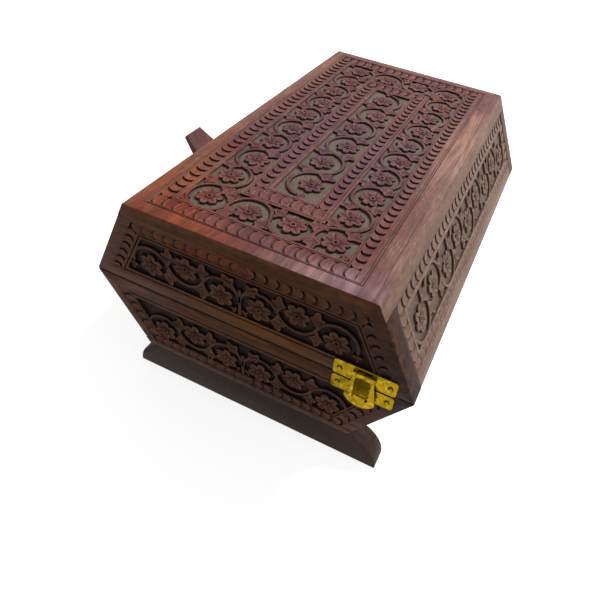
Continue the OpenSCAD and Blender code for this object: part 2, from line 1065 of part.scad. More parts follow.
base_front_end();
base_rear_end();
base_hinge_side();
base_opening_side();
bottom_board();
base_floor_lining();
base_wall_lining();
front_foot();
rear_foot();
foot_screws();
lid_stop();
lid_stop_screws();
base_hinge_leaves();
hinge_pins();
base_hinge_screws();
catch_plate();
catch_nails();
lid_front_end();
lid_rear_end();
lid_hinge_side();
lid_opening_side();
top_board_panel();
top_board_brads();
lid_top_lining();
lid_wall_lining();
lid_hinge_leaves();
lid_hinge_screws();
hasp_plate();
hasp_plate_nails();
hasp_pin();
hasp();
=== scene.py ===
import math

import bmesh
import bpy
import numpy as np
from mathutils import Matrix, Vector


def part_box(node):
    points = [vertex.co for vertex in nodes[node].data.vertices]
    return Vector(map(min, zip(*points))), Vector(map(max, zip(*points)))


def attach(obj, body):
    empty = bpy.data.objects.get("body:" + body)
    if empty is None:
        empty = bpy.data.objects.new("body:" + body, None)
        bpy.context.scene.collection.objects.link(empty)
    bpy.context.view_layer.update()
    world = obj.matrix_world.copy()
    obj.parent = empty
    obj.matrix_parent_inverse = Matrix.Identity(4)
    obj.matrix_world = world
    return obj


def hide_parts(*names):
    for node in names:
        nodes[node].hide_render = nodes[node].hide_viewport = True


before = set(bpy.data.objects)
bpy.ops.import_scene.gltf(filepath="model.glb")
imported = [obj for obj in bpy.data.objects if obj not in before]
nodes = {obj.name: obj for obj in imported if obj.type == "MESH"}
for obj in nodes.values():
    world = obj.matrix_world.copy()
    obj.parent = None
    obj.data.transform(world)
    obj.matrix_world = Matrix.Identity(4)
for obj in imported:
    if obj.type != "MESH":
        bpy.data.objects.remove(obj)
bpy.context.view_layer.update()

# ---------------------------------------------------------------------------
# Camera, lamps and floor
# The box stands on a pale floor before a white background. It is seen from
# above its hasp end, under one soft lamp behind it and two weaker ones.
# ---------------------------------------------------------------------------

EYE = Vector((0.0910, -0.2284, 0.2368))
HEADING, PITCH, ROLL = 19.59, -42.76, 7.93      # degrees
SENSOR, LENS = 36, 32.06                        # millimetres
FRAMING = (-0.0483, -0.0281)                    # shift, as a share of the sensor
AIM = Vector((0, 0, 0.06))                      # where the lamps point
FLOOR_HALF = 3.0


def show(name, data):
    """A new object in the scene."""
    made = bpy.data.objects.new(name, data)
    bpy.context.scene.collection.objects.link(made)
    return made


camera_data = bpy.data.cameras.new("camera")
camera_data.sensor_width = SENSOR
camera_data.lens = LENS
camera_data.shift_x, camera_data.shift_y = FRAMING
camera_data.clip_start = 0.01
camera = show("camera", camera_data)
camera.matrix_world = (Matrix.Translation(EYE)
    @ Matrix.Rotation(math.radians(HEADING), 4, "Z")
    @ Matrix.Rotation(math.radians(90 + PITCH), 4, "X")
    @ Matrix.Rotation(math.radians(ROLL), 4, "Z"))
bpy.context.scene.camera = camera
bpy.context.scene.view_settings.view_transform = "Standard"

for name, place, watts, size, tint in (
        ("key", (0.52, 0.66, 0.95), 13.5, 0.28, (1, 0.98, 0.96)),
        ("side", (0.95, -0.1, 0.4), 1.2, 0.5, (1, 1, 1)),
        ("front", (-0.35, -1.0, 0.55), 1.7, 0.6, (1, 1, 1))):
    lamp = bpy.data.lights.new(name, "AREA")
    lamp.energy, lamp.size, lamp.color = watts, size, tint
    light = show(name, lamp)
    light.location = place
    light.rotation_euler = (AIM - Vector(place)).to_track_quat("-Z", "Y").to_euler()


class Graph:
    """Adds nodes to a node tree. A value that is a socket is linked, any other is set."""

    def __init__(self, tree):
        self.tree = tree

    def add(self, kind, inputs=None, **settings):
        made = self.tree.nodes.new(kind)
        for key, value in settings.items():
            setattr(made, key, value)
        for key, value in (inputs or {}).items():
            if isinstance(value, bpy.types.NodeSocket):
                self.tree.links.new(value, made.inputs[key])
            else:
                made.inputs[key].default_value = value
        return made

    def calc(self, operation, *values):
        """The result of one arithmetic node, such as MULTIPLY."""
        return self.add("ShaderNodeMath", dict(enumerate(values)), operation=operation).outputs[0]


def new_material(name):
    material = bpy.data.materials.new(name)
    material.use_nodes = True
    material.node_tree.nodes.clear()
    return material, Graph(material.node_tree)


def looked_at(graph):
    """1 where the camera, a reflection or a clear view looks straight at it."""
    path = graph.add("ShaderNodeLightPath").outputs
    straight = graph.calc("MAXIMUM", path["Is Camera Ray"], path["Is Glossy Ray"])
    return graph.calc("MAXIMUM", straight, path["Is Transmission Ray"])


world = bpy.data.worlds.new("studio")
world.use_nodes = True
world.node_tree.nodes.clear()
sky = Graph(world.node_tree)
room = sky.add("ShaderNodeBackground", {"Color": (1, 1, 1, 1), "Strength": 0.24})
white = sky.add("ShaderNodeBackground", {"Color": (1, 1, 1, 1), "Strength": 1.0})
backdrop = sky.add("ShaderNodeMixShader", {0: looked_at(sky), 1: room.outputs[0], 2: white.outputs[0]})
sky.add("ShaderNodeOutputWorld", {"Surface": backdrop.outputs[0]})
bpy.context.scene.world = world

pale_floor, g = new_material("pale_floor")
matt = g.add("ShaderNodeBsdfDiffuse", {"Color": (0.86, 0.86, 0.86, 1)})
glow = g.add("ShaderNodeEmission", {"Color": (1, 1, 1, 1), "Strength": 0.74})
seen_glow = g.add("ShaderNodeMixShader", {0: looked_at(g), 2: glow.outputs[0]})
lit_floor = g.add("ShaderNodeAddShader", {0: matt.outputs[0], 1: seen_glow.outputs[0]})
g.add("ShaderNodeOutputMaterial", {"Surface": lit_floor.outputs[0]})

floor_mesh = bpy.data.meshes.new("floor")
floor_mesh.from_pydata([(-FLOOR_HALF, -FLOOR_HALF, 0), (FLOOR_HALF, -FLOOR_HALF, 0),
    (FLOOR_HALF, FLOOR_HALF, 0), (-FLOOR_HALF, FLOOR_HALF, 0)], [], [(0, 1, 2, 3)])
floor_mesh.materials.append(pale_floor)
floor = show("floor", floor_mesh)

# ---------------------------------------------------------------------------
# End boards of lid and base
# Half-hexagon boards of brown hardwood, whose edges show at the corners. They
# are chip-carved, stained and waxed by hand: rows of scales run round a sunk
# field, in which three flowers stand on a vine each side of an upright stem.
# ---------------------------------------------------------------------------

MM = 0.001
lid_end_low, lid_end_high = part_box("lid_front_end")
base_end_low, base_end_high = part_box("base_front_end")
top_low, top_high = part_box("top_board_panel")
bottom_low, bottom_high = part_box("bottom_board")
CENTRE_X = (top_low.x + top_high.x) / 2
FRONT, REAR = top_low.y, top_high.y
FLOOR, CEILING, TOP = base_end_low.z, top_low.z, top_high.z
BASE_RIM, LID_RIM = base_end_high.z, lid_end_low.z
SEAM = (BASE_RIM + LID_RIM) / 2
END_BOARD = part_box("lid_opening_side")[0].y - FRONT         # thickness


def half(low, high):
    return (high.x - low.x) / 2


# how far the side boards lean out over their height
LID_LEAN = (half(lid_end_low, lid_end_high) - half(top_low, top_high)) / (CEILING - LID_RIM)
BASE_LEAN = (half(base_end_low, base_end_high) - half(bottom_low, bottom_high)) / (BASE_RIM - FLOOR)
RIDGE = half(lid_end_low, lid_end_high) + LID_LEAN * (LID_RIM - SEAM)


def half_width(z):
    """Half the box's width at a height."""
    return RIDGE - (LID_LEAN * (z - SEAM) if z >= SEAM else BASE_LEAN * (SEAM - z))


def tone(red, green, blue):
    """A colour given as it looks, each part from 0 to 255, as Blender's linear colour."""
    def linear(c):
        c /= 255
        return c / 12.92 if c <= 0.04045 else ((c + 0.055) / 1.055) ** 2.4
    return (linear(red), linear(green), linear(blue), 1)


BLACK = (0, 0, 0, 1)


def mix(graph, factor, a, b):
    return graph.add("ShaderNodeMix", {0: factor, 6: a, 7: b}, data_type="RGBA").outputs[2]


def ramp(graph, value, low, high):
    """Value spread so that low gives 0 and high gives 1."""
    return graph.add("ShaderNodeMapRange", {"Value": value, "From Min": low, "From Max": high},
        interpolation_type="SMOOTHSTEP").outputs[0]


def noise(graph, coords, scale, detail=3.0, rough=0.5, twist=0.0):
    return graph.add("ShaderNodeTexNoise", {"Vector": coords, "Scale": scale, "Detail": detail,
        "Roughness": rough, "Distortion": twist}).outputs["Fac"]


def attribute(graph, label):
    return graph.add("ShaderNodeAttribute", attribute_name=label).outputs["Fac"]


GRAIN_PULL = 0.09       # how much the grain is drawn out along the board
VEIN_SWAY = 4 * MM      # how far a vein in the wood wanders
VEIN_HALF = 0.4 * MM


def patch(g, place, centre, radius, strength, drawn=(1, 1, 1)):
    """A ragged patch, from its strength at the centre to 0 a little inside its radius."""
    off = g.add("ShaderNodeVectorMath", {0: place, 1: centre}, operation="SUBTRACT").outputs[0]
    off = g.add("ShaderNodeVectorMath", {0: off, 1: drawn}, operation="DIVIDE").outputs[0]
    away = g.add("ShaderNodeVectorMath", {0: off}, operation="LENGTH").outputs["Value"]
    ragged = g.calc("ADD", away, g.calc("MULTIPLY", noise(g, place, 60), radius * 0.9))
    return g.calc("MULTIPLY", ramp(g, ragged, radius * 1.35, radius * 0.45), strength)


def timber(name, along, pale, deep, crevice, ground, worn_and_highlit, stains_and_painted_light=(), polish=0.1, rub_and_highlight=0.8,
        ticks=0.1, vein=None):
    """Stained and waxed wood. along is the grain's axis, crevice the painted shade in corners and
    down carved walls, also the colour of the vein, ground the carving's punched bed, and
    worn_and_highlit the wood where hands have rubbed it, also painted on edges as a highlight.
    stains_and_painted_light are (colour, centre, radius, strength) patches, with a fifth item where
    one is drawn out along the axes: stains, painted shade and painted sheen. polish is how much the
    wax reflects, rub_and_highlight how strongly the worn and highlit edges show, ticks how strongly
    open pores catch pale wax, and vein the X of one dark line in the wood."""
    material, g = new_material(name)
    place = g.add("ShaderNodeTexCoord").outputs["Object"]
    pull = [GRAIN_PULL if axis == along else 1.0 for axis in "XYZ"]
    grain = g.add("ShaderNodeMapping", {"Vector": place, "Scale": pull}).outputs[0]
    streaks = noise(g, grain, 1900, 4, 0.65)
    figure = noise(g, grain, 210, 4, 0.6, 1.6)
    cloud = noise(g, place, 26, 3, 0.6)
    colour = mix(g, ramp(g, figure, 0.32, 0.7), deep, pale)
    colour = mix(g, ramp(g, cloud, 0.35, 0.75), colour, mix(g, 0.5, colour, deep))
    # Stain patches, with patches of painted shade and painted sheen among them.
    for tint, *where in stains_and_painted_light:
        darker_tint, paler_tint = [[share * c for c in tint] for share in (0.6, 1.25)]
        uneven = mix(g, ramp(g, figure, 0.38, 0.66), darker_tint, paler_tint)
        colour = mix(g, patch(g, place, *where), colour, uneven)
    colour = mix(g, ramp(g, streaks, 0.52, 0.72), colour, mix(g, 0.5, colour, BLACK))

    pores = g.add("ShaderNodeMapping", {"Vector": grain, "Location": (3, 3, 3)}).outputs[0]
    waxed = g.calc("MULTIPLY", ramp(g, noise(g, pores, 2400, 2), 0.6, 0.7),
        ramp(g, noise(g, place, 38, 2), 0.25, 0.75))
    colour = mix(g, g.calc("MULTIPLY", waxed, ticks), colour, mix(g, 0.5, worn_and_highlit, (1, 0.9, 0.86, 1)))
    if vein is not None:
        sway = g.calc("MULTIPLY_ADD", noise(g, grain, 160), -VEIN_SWAY, VEIN_SWAY / 2 - vein)
        x = g.add("ShaderNodeSeparateXYZ", {0: place}).outputs[0]
        away = g.calc("ABSOLUTE", g.calc("ADD", x, sway))
        thin = g.calc("MULTIPLY", ramp(g, away, VEIN_HALF, 0.05 * MM), 0.6)
        colour = mix(g, thin, colour, crevice)
    # Edges lighten towards worn_and_highlit: real wear, and a painted highlight where edges catch the
    # light.
    patchy = g.calc("MULTIPLY", ramp(g, noise(g, place, 330), 0.36, 0.66), rub_and_highlight)
    colour = mix(g, g.calc("MULTIPLY", attribute(g, "wear_and_highlight"), patchy), colour, worn_and_highlit)

    shade = attribute(g, "shade")
    sunk = ramp(g, shade, 0.7, 0.98)
    punched = noise(g, place, 1500, 2, 0.6)
    bed = mix(g, ramp(g, punched, 0.4, 0.64), mix(g, 0.3, ground, BLACK), ground)
    bed = mix(g, ramp(g, noise(g, place, 70, 2), 0.42, 0.62), bed, mix(g, 0.35, bed, deep))
    # Painted shade: corners and carved walls darken towards crevice where the shade attribute rises.
    colour = mix(g, ramp(g, shade, 0.05, 0.45), colour, crevice)
    colour = mix(g, sunk, colour, bed)

    rough = g.add("ShaderNodeMapRange", {"Value": mix(g, 0.5, streaks, cloud),
        "To Min": 0.38, "To Max": 0.66}).outputs[0]
    open_grain = g.add("ShaderNodeBump", {"Height": streaks, "Strength": 0.4,
        "Distance": 0.14 * MM}).outputs[0]
    skin = g.add("ShaderNodeBump", {"Height": g.calc("MULTIPLY", punched, sunk), "Strength": 0.8,
        "Distance": 0.35 * MM, "Normal": open_grain}).outputs[0]
    wood = g.add("ShaderNodeBsdfPrincipled", {"Base Color": colour, "Roughness": rough,
        "Normal": skin, "Specular IOR Level": polish})
    g.add("ShaderNodeOutputMaterial", {"Surface": wood.outputs[0]})
    return material


end_timber = timber("end_timber", "X", pale=tone(92, 56, 36), deep=tone(58, 34, 24),
    crevice=tone(14, 7, 6), ground=tone(24, 13, 11), worn_and_highlit=tone(108, 72, 44), polish=0.06,
    rub_and_highlight=0.6, stains_and_painted_light=[
        (tone(104, 60, 8), (0.02, FRONT, SEAM + 0.003), 0.0125, 0.85, (3.8, 1, 1)),
        (tone(112, 82, 72), (CENTRE_X - 0.055, FRONT, SEAM - 0.004), 0.011, 0.75, (3, 1, 1)),
        # Painted shadow: a thin black line along the seam, the shade in the gap between lid and base.
        (tone(8, 5, 4), (CENTRE_X, FRONT, SEAM), 0.0016, 0.95, (300, 1, 1)),
        (tone(98, 46, 20), (0.0, FRONT, CEILING - 0.004), 0.012, 0.7, (4, 1, 1)),
        # A darker patch over the right end of the lid's end board.
        (tone(38, 25, 22), (CENTRE_X + 0.068, FRONT, SEAM + 0.016), 0.046, 0.85),
        # Painted shade: a dark bluish patch at the corner by the ridge, on the side turned from the
        # light.
        (tone(42, 41, 48), (CENTRE_X + RIDGE, FRONT, SEAM), 0.022, 0.8)])
# Edges that face up and down are darker: painted shade in the seam's gap between lid and base.
shaded_rim_timber = timber("shaded_rim_timber", "X", pale=tone(50, 33, 26), deep=tone(34, 22, 18),
    crevice=tone(18, 9, 8), ground=tone(34, 20, 17), worn_and_highlit=tone(60, 42, 32), polish=0.04)

# The motifs are cut in the board itself, down to the sunk ground. Each is a
# closed form whose foot goes a little under the ground. Heights are in
# millimetres from the board's face.
GROUND = -1.2
FOOT = 1.15 * GROUND
motifs = bpy.data.collections.new("motifs")


def store(mesh, label, values, kind="FLOAT"):
    """Gives each point of a mesh its value."""
    field = mesh.attributes.new(label, kind, "POINT").data
    field.foreach_set("vector" if kind == "FLOAT_VECTOR" else "value", values)


def wall(levels, count):
    """Faces of a tube of loops, closed at its first loop and open at its last."""
    faces = [tuple(reversed(range(count)))]
    for a in range(0, (levels - 1) * count, count):
        faces += [(a + i, a + (i + 1) % count, a + count + (i + 1) % count, a + count + i)
            for i in range(count)]
    return faces


def cone(loops, peak):
    """Points and faces of a closed form through loops of equal length, up to a middle point."""
    count = len(loops[0])
    last = (len(loops) - 1) * count
    points = [p for loop in loops for p in loop] + [peak]
    return points, wall(len(loops), count) + [
        (last + i, last + (i + 1) % count, len(points) - 1) for i in range(count)]


def keep_motif(name, points, faces, marks):
    """marks are (wear_and_highlight, shade) for each point: how rubbed it is, also as painted highlight,
    and how dark its painted shade lies.
    """
    mesh = bpy.data.meshes.new(name)
    mesh.from_pydata(points, [], faces)
    store(mesh, "wear_and_highlight", [wear_and_highlight for wear_and_highlight, _ in marks])
    store(mesh, "shade", [shade for _, shade in marks])
    motifs.objects.link(bpy.data.objects.new(name, mesh))


def lobed(name, steps, reach, vein, centre=0.0, bend=0.0, rings=(), cut=0.45):
    """A lobed form about a point on X. reach(angle) is its outline and vein(angle) says, from
    0 to 1, where its face is cut; bend curls it sideways along X. rings are round steps in its
    middle, as (radius, height), from the outside in."""
    angles = [2 * math.pi * i / steps for i in range(steps)]

    def loop(share, height, depth=0.0, radius=None):
        out = []
        for a in angles:
            r = radius or share * reach(a)
            x, y = centre + r * math.cos(a), r * math.sin(a)
            out.append((x, y + bend * x * abs(x), (height - depth * vein(a)) * MM))
        return out

    loops = [[(x, y, FOOT * MM) for x, y, _ in loop(1.03, 0)], loop(1.0, -0.45),
        loop(0.92, -0.1), loop(0.62, -0.16, cut)]
    marks = [(0, 0.6), (0, 0.5), (1, 0), (0, 0.15)]
    for radius, height in rings:
        loops.append(loop(1, height, 0, radius))
        marks.append((0.5, 0) if height > -0.2 else (0, 0.25))
    drop = rings[-1][1] if rings else -0.5
    points, faces = cone(loops, (centre, bend * centre * abs(centre), drop * MM))
    keep_motif(name, points, faces, [m for m in marks for _ in range(steps)] + [marks[-1]])


def lobe(a, at, width):
    """A smooth rise to 1 about an angle."""
    away = (a - at + math.pi) % (2 * math.pi) - math.pi
    return math.exp(-((away / width) ** 2))


def flower(name, petals, radius):
    """Round petals cut apart almost to the middle and grooved down their length, round a
    raised ring with a drilled eye."""
    out = 0.655 * radius                            # each petal is an arc about this point
    fat = 0.33 * radius * (6 / petals) ** 0.8       # of this radius
    cleft = 0.36 * radius                           # where two petals part

    def share(a):
        return (a * petals / (2 * math.pi) + 0.5) % 1 - 0.5

    def reach(a):
        turn = share(a) * 2 * math.pi / petals
        room = fat ** 2 - (out * math.sin(turn)) ** 2
        return cleft if room < (0.04 * radius) ** 2 else out * math.cos(turn) + math.sqrt(room)

    def vein(a):
        return math.exp(-((share(a) / 0.08) ** 2))

    lobed(name, 12 * petals, reach, vein, cut=0.6, rings=[(0.25 * radius, -0.62),
        (0.22 * radius, -0.06), (0.13 * radius, -0.06), (0.11 * radius, -0.8)])


def leaf(name, way):
    """Three-lobed leaf from the origin along +X, curled to one side."""
    length = 9.3 * MM

    def reach(a):
        return length * (0.2 + 0.38 * lobe(a, 0, 0.52) + 0.22 * lobe(a, 1.35 * way, 0.44)
            + 0.17 * lobe(a, -1.2 * way, 0.42) + 0.24 * lobe(a, math.pi, 0.34))

    def vein(a):
        return lobe(a, 0, 0.3) + lobe(a, 1.35 * way, 0.26) + 0.7 * lobe(a, -1.2 * way, 0.26)

    lobed(name, 26, reach, vein, centre=0.43 * length, bend=way * 14)


def bud(name):
    """Trefoil bud from the origin along +X."""
    length = 4.6 * MM

    def reach(a):
        return length * (0.2 + 0.3 * (lobe(a, 0, 0.45) + lobe(a, 1.9, 0.5) + lobe(a, -1.9, 0.5))
            + 0.18 * lobe(a, math.pi, 0.3))

    def vein(a):
        return lobe(a, 1.0, 0.3) + lobe(a, -1.0, 0.3)

    lobed(name, 22, reach, vein, centre=0.42 * length)


def boss(name):
    """Rounded boss where the two halves of a row of scales meet, one unit wide."""
    def reach(a):
        x, y = abs(math.cos(a)), abs(math.sin(a))
        return 1 / ((x / 0.4) ** 1.8 + (y / 0.47) ** 1.8) ** (1 / 1.8)

    lobed(name, 20, reach, lambda a: 0.0)


def scale(name):
    """One scale of a gouge-cut row, one unit long and wide. It stands up from a round stop cut
    and slopes down to the foot of the next one."""
    rows = 7
    # (distance, height, wear and painted highlight, painted shade) along the scale; its tail darkens in
    # painted shade under the next scale's front
    profile = [(0, -0.36, 0, 0.5), (0.05, -0.07, 1, 0), (0.3, -0.15, 0, 0), (0.65, -0.48, 0, 0.02),
        (0.86, -0.76, 0, 0.28), (1, -0.95, 0, 0.75)]
    points, marks = [], []
    for r in range(rows):
        y = -0.5 + r / (rows - 1)
        start = -0.5 + 0.42 * (1 - math.sqrt(1 - 3.75 * y * y))
        for along, height, wear_and_highlight, shade in profile:
            points.append((start + along, y, height * MM))
            marks.append((wear_and_highlight, shade))
    wide = len(profile)
    last = (rows - 1) * wide
    rim = (list(range(wide)) + [r * wide + wide - 1 for r in range(1, rows)]
        + [last + c for c in range(wide - 2, -1, -1)] + [r * wide for r in range(rows - 2, 0, -1)])
    faces = [(r * wide + c, r * wide + c + 1, (r + 1) * wide + c + 1, (r + 1) * wide + c)
        for r in range(rows - 1) for c in range(wide - 1)]
    base = len(points)
    points += [(points[i][0], points[i][1], FOOT * MM) for i in rim]
    marks += [(0, 0.6)] * len(rim)
    for i in range(len(rim)):
        j = (i + 1) % len(rim)
        faces.append((rim[j], rim[i], base + i, base + j))
    faces.append(tuple(base + i for i in reversed(range(len(rim)))))
    keep_motif(name, points, faces, marks)


# a layout calls a motif by its number, which follows the order of their names
FLOWER_SIX, LEAF, LEAF_LEFT, BUD, SCALE, BOSS = range(6)
flower("a_flower_six", 6, 6.1 * MM)
leaf("b_leaf", 1)
leaf("c_leaf_left", -1)
bud("d_bud")
scale("e_scale")
boss("f_boss")

STEM_HALF = 0.8 * MM
# (distance from the middle in half widths, height) round the stem's section
STEM_SECTION = [(-1.05, -1.9), (1.05, -1.9), (1.0, -0.45), (0.6, -0.14), (-0.6, -0.14),
    (-1.0, -0.45)]
stem_curve = bpy.data.curves.new("stem_profile", "CURVE")
stem_line = stem_curve.splines.new("POLY")
stem_line.points.add(len(STEM_SECTION) - 1)
for point, (x, z) in zip(stem_line.points, STEM_SECTION):
    point.co = (x * STEM_HALF, -z * MM, 0, 1)
stem_line.use_cyclic_u = True
stem_profile = bpy.data.objects.new("stem_profile", stem_curve)


def new_tree(name, given, inputs, result):
    """A Geometry Nodes tree with named inputs: its Graph, and its inputs' sockets."""
    tree = bpy.data.node_groups.new(name, "GeometryNodeTree")
    for label, kind in [(given, "Geometry")] + inputs:
        tree.interface.new_socket(label, in_out="INPUT", socket_type="NodeSocket" + kind)
    tree.interface.new_socket(result, in_out="OUTPUT", socket_type="NodeSocketGeometry")
    g = Graph(tree)
    return g, g.add("NodeGroupInput").outputs


def named(g, label, kind):
    """The values that store gave the points."""
    return g.add("GeometryNodeInputNamedAttribute", {"Name": label},
        data_type=kind).outputs["Attribute"]


def end_tree(g, geometry, material, result):
    """Makes the instances real and gives all one material."""
    real = g.add("GeometryNodeRealizeInstances", {"Geometry": geometry}).outputs[0]
    painted = g.add("GeometryNodeSetMaterial", {"Geometry": real, "Material": material})
    g.add("NodeGroupOutput", {result: painted.outputs[0]})


def carving_tree():
    """Puts motifs on a layout's points, sweeps stems along its edges, and joins both to the
    board. Wobble turns and sizes each motif a little, as a hand does."""
    g, given = new_tree("carving", "Board", [("Layout", "Object"), ("Motifs", "Collection"),
        ("Stem profile", "Object"), ("Wobble", "Float"), ("Timber", "Material")], "Carved board")
    layout = g.add("GeometryNodeObjectInfo", {"Object": given["Layout"]}).outputs["Geometry"]
    kind, loose = named(g, "kind", "INT"), named(g, "loose", "FLOAT")
    is_motif = g.add("FunctionNodeCompare", {2: kind, 3: 0}, data_type="INT",
        operation="GREATER_EQUAL").outputs[0]
    masters = g.add("GeometryNodeCollectionInfo", {"Collection": given["Motifs"],
        "Separate Children": True, "Reset Children": True}).outputs[0]

    def shake(seed):
        free = g.add("FunctionNodeRandomValue", {2: -1.0, 3: 1.0, "Seed": seed}, data_type="FLOAT")
        return g.calc("MULTIPLY", free.outputs[1], given["Wobble"])

    turn = g.calc("MULTIPLY_ADD", shake(7), loose, named(g, "turn", "FLOAT"))
    grow = g.calc("MULTIPLY_ADD", shake(11), g.calc("MULTIPLY", loose, 0.5), 1.0)
    size = g.add("ShaderNodeVectorMath", {0: named(g, "size", "FLOAT_VECTOR"), "Scale": grow},
        operation="SCALE").outputs[0]
    placed = g.add("GeometryNodeInstanceOnPoints", {"Points": layout, "Selection": is_motif,
        "Instance": masters, "Pick Instance": True, "Instance Index": kind,
        "Rotation": g.add("ShaderNodeCombineXYZ", {"Z": turn}).outputs[0], "Scale": size}).outputs[0]

    lines = g.add("GeometryNodeMeshToCurve", {"Mesh": layout}).outputs[0]
    swelling = g.add("GeometryNodeSetCurveRadius", {"Curve": lines, "Radius": loose}).outputs[0]
    upright = g.add("GeometryNodeSetCurveNormal", {"Curve": swelling}, mode="Z_UP").outputs[0]
    profile = g.add("GeometryNodeObjectInfo", {"Object": given["Stem profile"]}).outputs["Geometry"]
    swept = g.add("GeometryNodeCurveToMesh", {"Curve": upright, "Profile Curve": profile,
        "Fill Caps": True}).outputs[0]
    height = g.add("ShaderNodeSeparateXYZ", {0: g.add("GeometryNodeInputPosition").outputs[0]}).outputs[2]
    low = g.add("ShaderNodeMapRange", {"Value": height, "From Min": -0.14 * MM,
        "From Max": -0.4 * MM, "To Max": 0.55}).outputs[0]
    stems = g.add("GeometryNodeStoreNamedAttribute", {"Geometry": swept, "Name": "shade",
        "Value": low}, data_type="FLOAT", domain="POINT").outputs[0]
    joined = g.add("GeometryNodeJoinGeometry")
    for part in (given["Board"], placed, stems):
        g.tree.links.new(part, joined.inputs[0])
    end_tree(g, joined.outputs[0], given["Timber"], "Carved board")
    return g.tree


CARVING = carving_tree()
WOBBLE = 0.09


def grown(mesh, tree, inputs):
    """The plain mesh that a tree makes of a mesh."""
    blank = show("blank", mesh)
    work = blank.modifiers.new("work", "NODES")
    work.node_group = tree
    for item in tree.interface.items_tree:
        if item.item_type == "SOCKET" and item.in_out == "INPUT" and item.name in inputs:
            work[item.identifier] = inputs[item.name]
    made = bpy.data.meshes.new_from_object(blank.evaluated_get(bpy.context.evaluated_depsgraph_get()))
    bpy.data.objects.remove(blank)
    return made


class Layout:
    """Motifs and stems on one board, in the board's own plane."""

    def __init__(self):
        self.points, self.kinds, self.turns, self.sizes, self.loose, self.edges = [], [], [], [], [], []

    def put(self, kind, x, y, turn=0.0, size=(1, 1, 1), loose=1.0):
        """loose is how freely the hand may turn and size the motif."""
        self.points.append((x, y, 0))
        self.kinds.append(kind)
        self.turns.append(turn)
        self.sizes.append(size)
        self.loose.append(loose)

    def stem(self, path, widths):
        """widths, about 1, thin and swell the stem along its path."""
        start = len(self.points)
        for (x, y), width in zip(path, widths):
            self.put(-1, x, y, loose=width)
        self.edges += [(start + i, start + i + 1) for i in range(len(path) - 1)]

    def to_object(self):
        mesh = bpy.data.meshes.new("layout")
        mesh.from_pydata(self.points, self.edges, [])
        store(mesh, "kind", self.kinds, "INT")
        store(mesh, "turn", self.turns)
        store(mesh, "loose", self.loose)
        store(mesh, "size", [c for s in self.sizes for c in s], "FLOAT_VECTOR")
        return show("layout", mesh)


def polar(centre, radius, angle):
    return (centre[0] + radius * math.cos(angle), centre[1] + radius * math.sin(angle))


LEAF_LEAN = math.radians(64)    # a leaf's turn away from its row
ARC_STEP = 0.26                 # turn of a stem from one point to the next


def vine(layout, centres, side, kind, closed=False, size=1.0, thick=1.0):
    """A scrolling stem: it arches over one flower after another, on alternate sides, and has
    two leaves where it crosses over. The first and last centre are only aimed at."""
    if closed:
        centres = [centres[-1]] + centres + [centres[0]]
    path, widths = [], []
    for i in range(1, len(centres) - 1):
        here = centres[i]
        start, end = [((here[0] + near[0]) / 2, (here[1] + near[1]) / 2)
            for near in (centres[i - 1], centres[i + 1])]
        a0, a1 = [math.atan2(p[1] - here[1], p[0] - here[0]) for p in (start, end)]
        r0, r1 = math.dist(start, here), math.dist(end, here)
        sweep = (a1 - a0) % (2 * math.pi) - (2 * math.pi if side > 0 else 0)
        steps = max(6, round(abs(sweep) / ARC_STEP))
        for k in range(0 if i == 1 else 1, steps + 1):
            share = k / steps
            path.append(polar(here, r0 + (r1 - r0) * share, a0 + sweep * share))
            widths.append(thick * (0.82 + 0.55 * abs(2 * share - 1) ** 2))
        layout.put(kind, *here, a0 + 0.4 * i, (size, size, 1))
        if i < len(centres) - 2 or closed:
            along = math.atan2(centres[i + 1][1] - here[1], centres[i + 1][0] - here[0])
            for turn in (0, math.pi):
                lean = along + turn + side * LEAF_LEAN
                root = polar(end, 0.9 * MM, lean)
                layout.put(LEAF if side > 0 else LEAF_LEFT, *root, lean, (size, size, 1))
        side = -side
    layout.stem(path, widths)
    return path


def tip(layout, path, size=1.0):
    """A bud on the last point of a stem."""
    (x0, y0), (x1, y1) = path[-2:]
    layout.put(BUD, x1, y1, math.atan2(y1 - y0, x1 - x0), (size, size, 1))


def scale_row(layout, start, end, wide, pitch, back, deep):
    """Scales along the edge of a band this wide. Those of the first share, back, face back,
    the others forward, with a boss where they change."""
    run = math.dist(start, end)
    along = math.atan2(end[1] - start[1], end[0] - start[0])
    count = max(2, round(run / pitch))
    step = run / count
    turn_at = round(count * back)

    def put(kind, steps, turn):
        x, y = polar(polar(start, step * steps, along), wide / 2, along + math.pi / 2)
        layout.put(kind, x, y, turn, (step, wide, deep), 0.0)

    for i in range(count):
        put(SCALE, i + 0.5, along + (0 if i < turn_at else math.pi))
    if 0 < turn_at < count:
        put(BOSS, turn_at, along)


# Each board is planed and its edges eased, then it is scribed and sunk in
# bands that run round it. Insets are distances in millimetres from its four
# edges, and a band is (insets, height, wear and painted highlight, corner radius).
SKIN = -0.05                    # the planed face lies a hair inside the solid board's
SHALLOW = -0.72                 # bed of the rows of scales
SHALLOW_SCALES = 0.65           # and the scales' depth there, as a share
EASED = [((0.12,) * 4, -0.2, 0.7, 0.5), ((0.4,) * 4, SKIN, 0.3, 0.8)]
LIP = 0.2                       # slope of the wall down to the ground


def plus(insets, extra):
    """Insets moved inwards, all by one number or each by its own."""
    extra = extra if isinstance(extra, tuple) else (extra,) * 4
    return tuple(i + e for i, e in zip(insets, extra))


def groove(insets, width=0.45, deep=0.45):
    """A scribed line."""
    return [(insets, SKIN, 0.3, 0.3), (plus(insets, width / 2), SKIN - deep, 0, 0.3),
        (plus(insets, width), SKIN, 0.3, 0.3)]


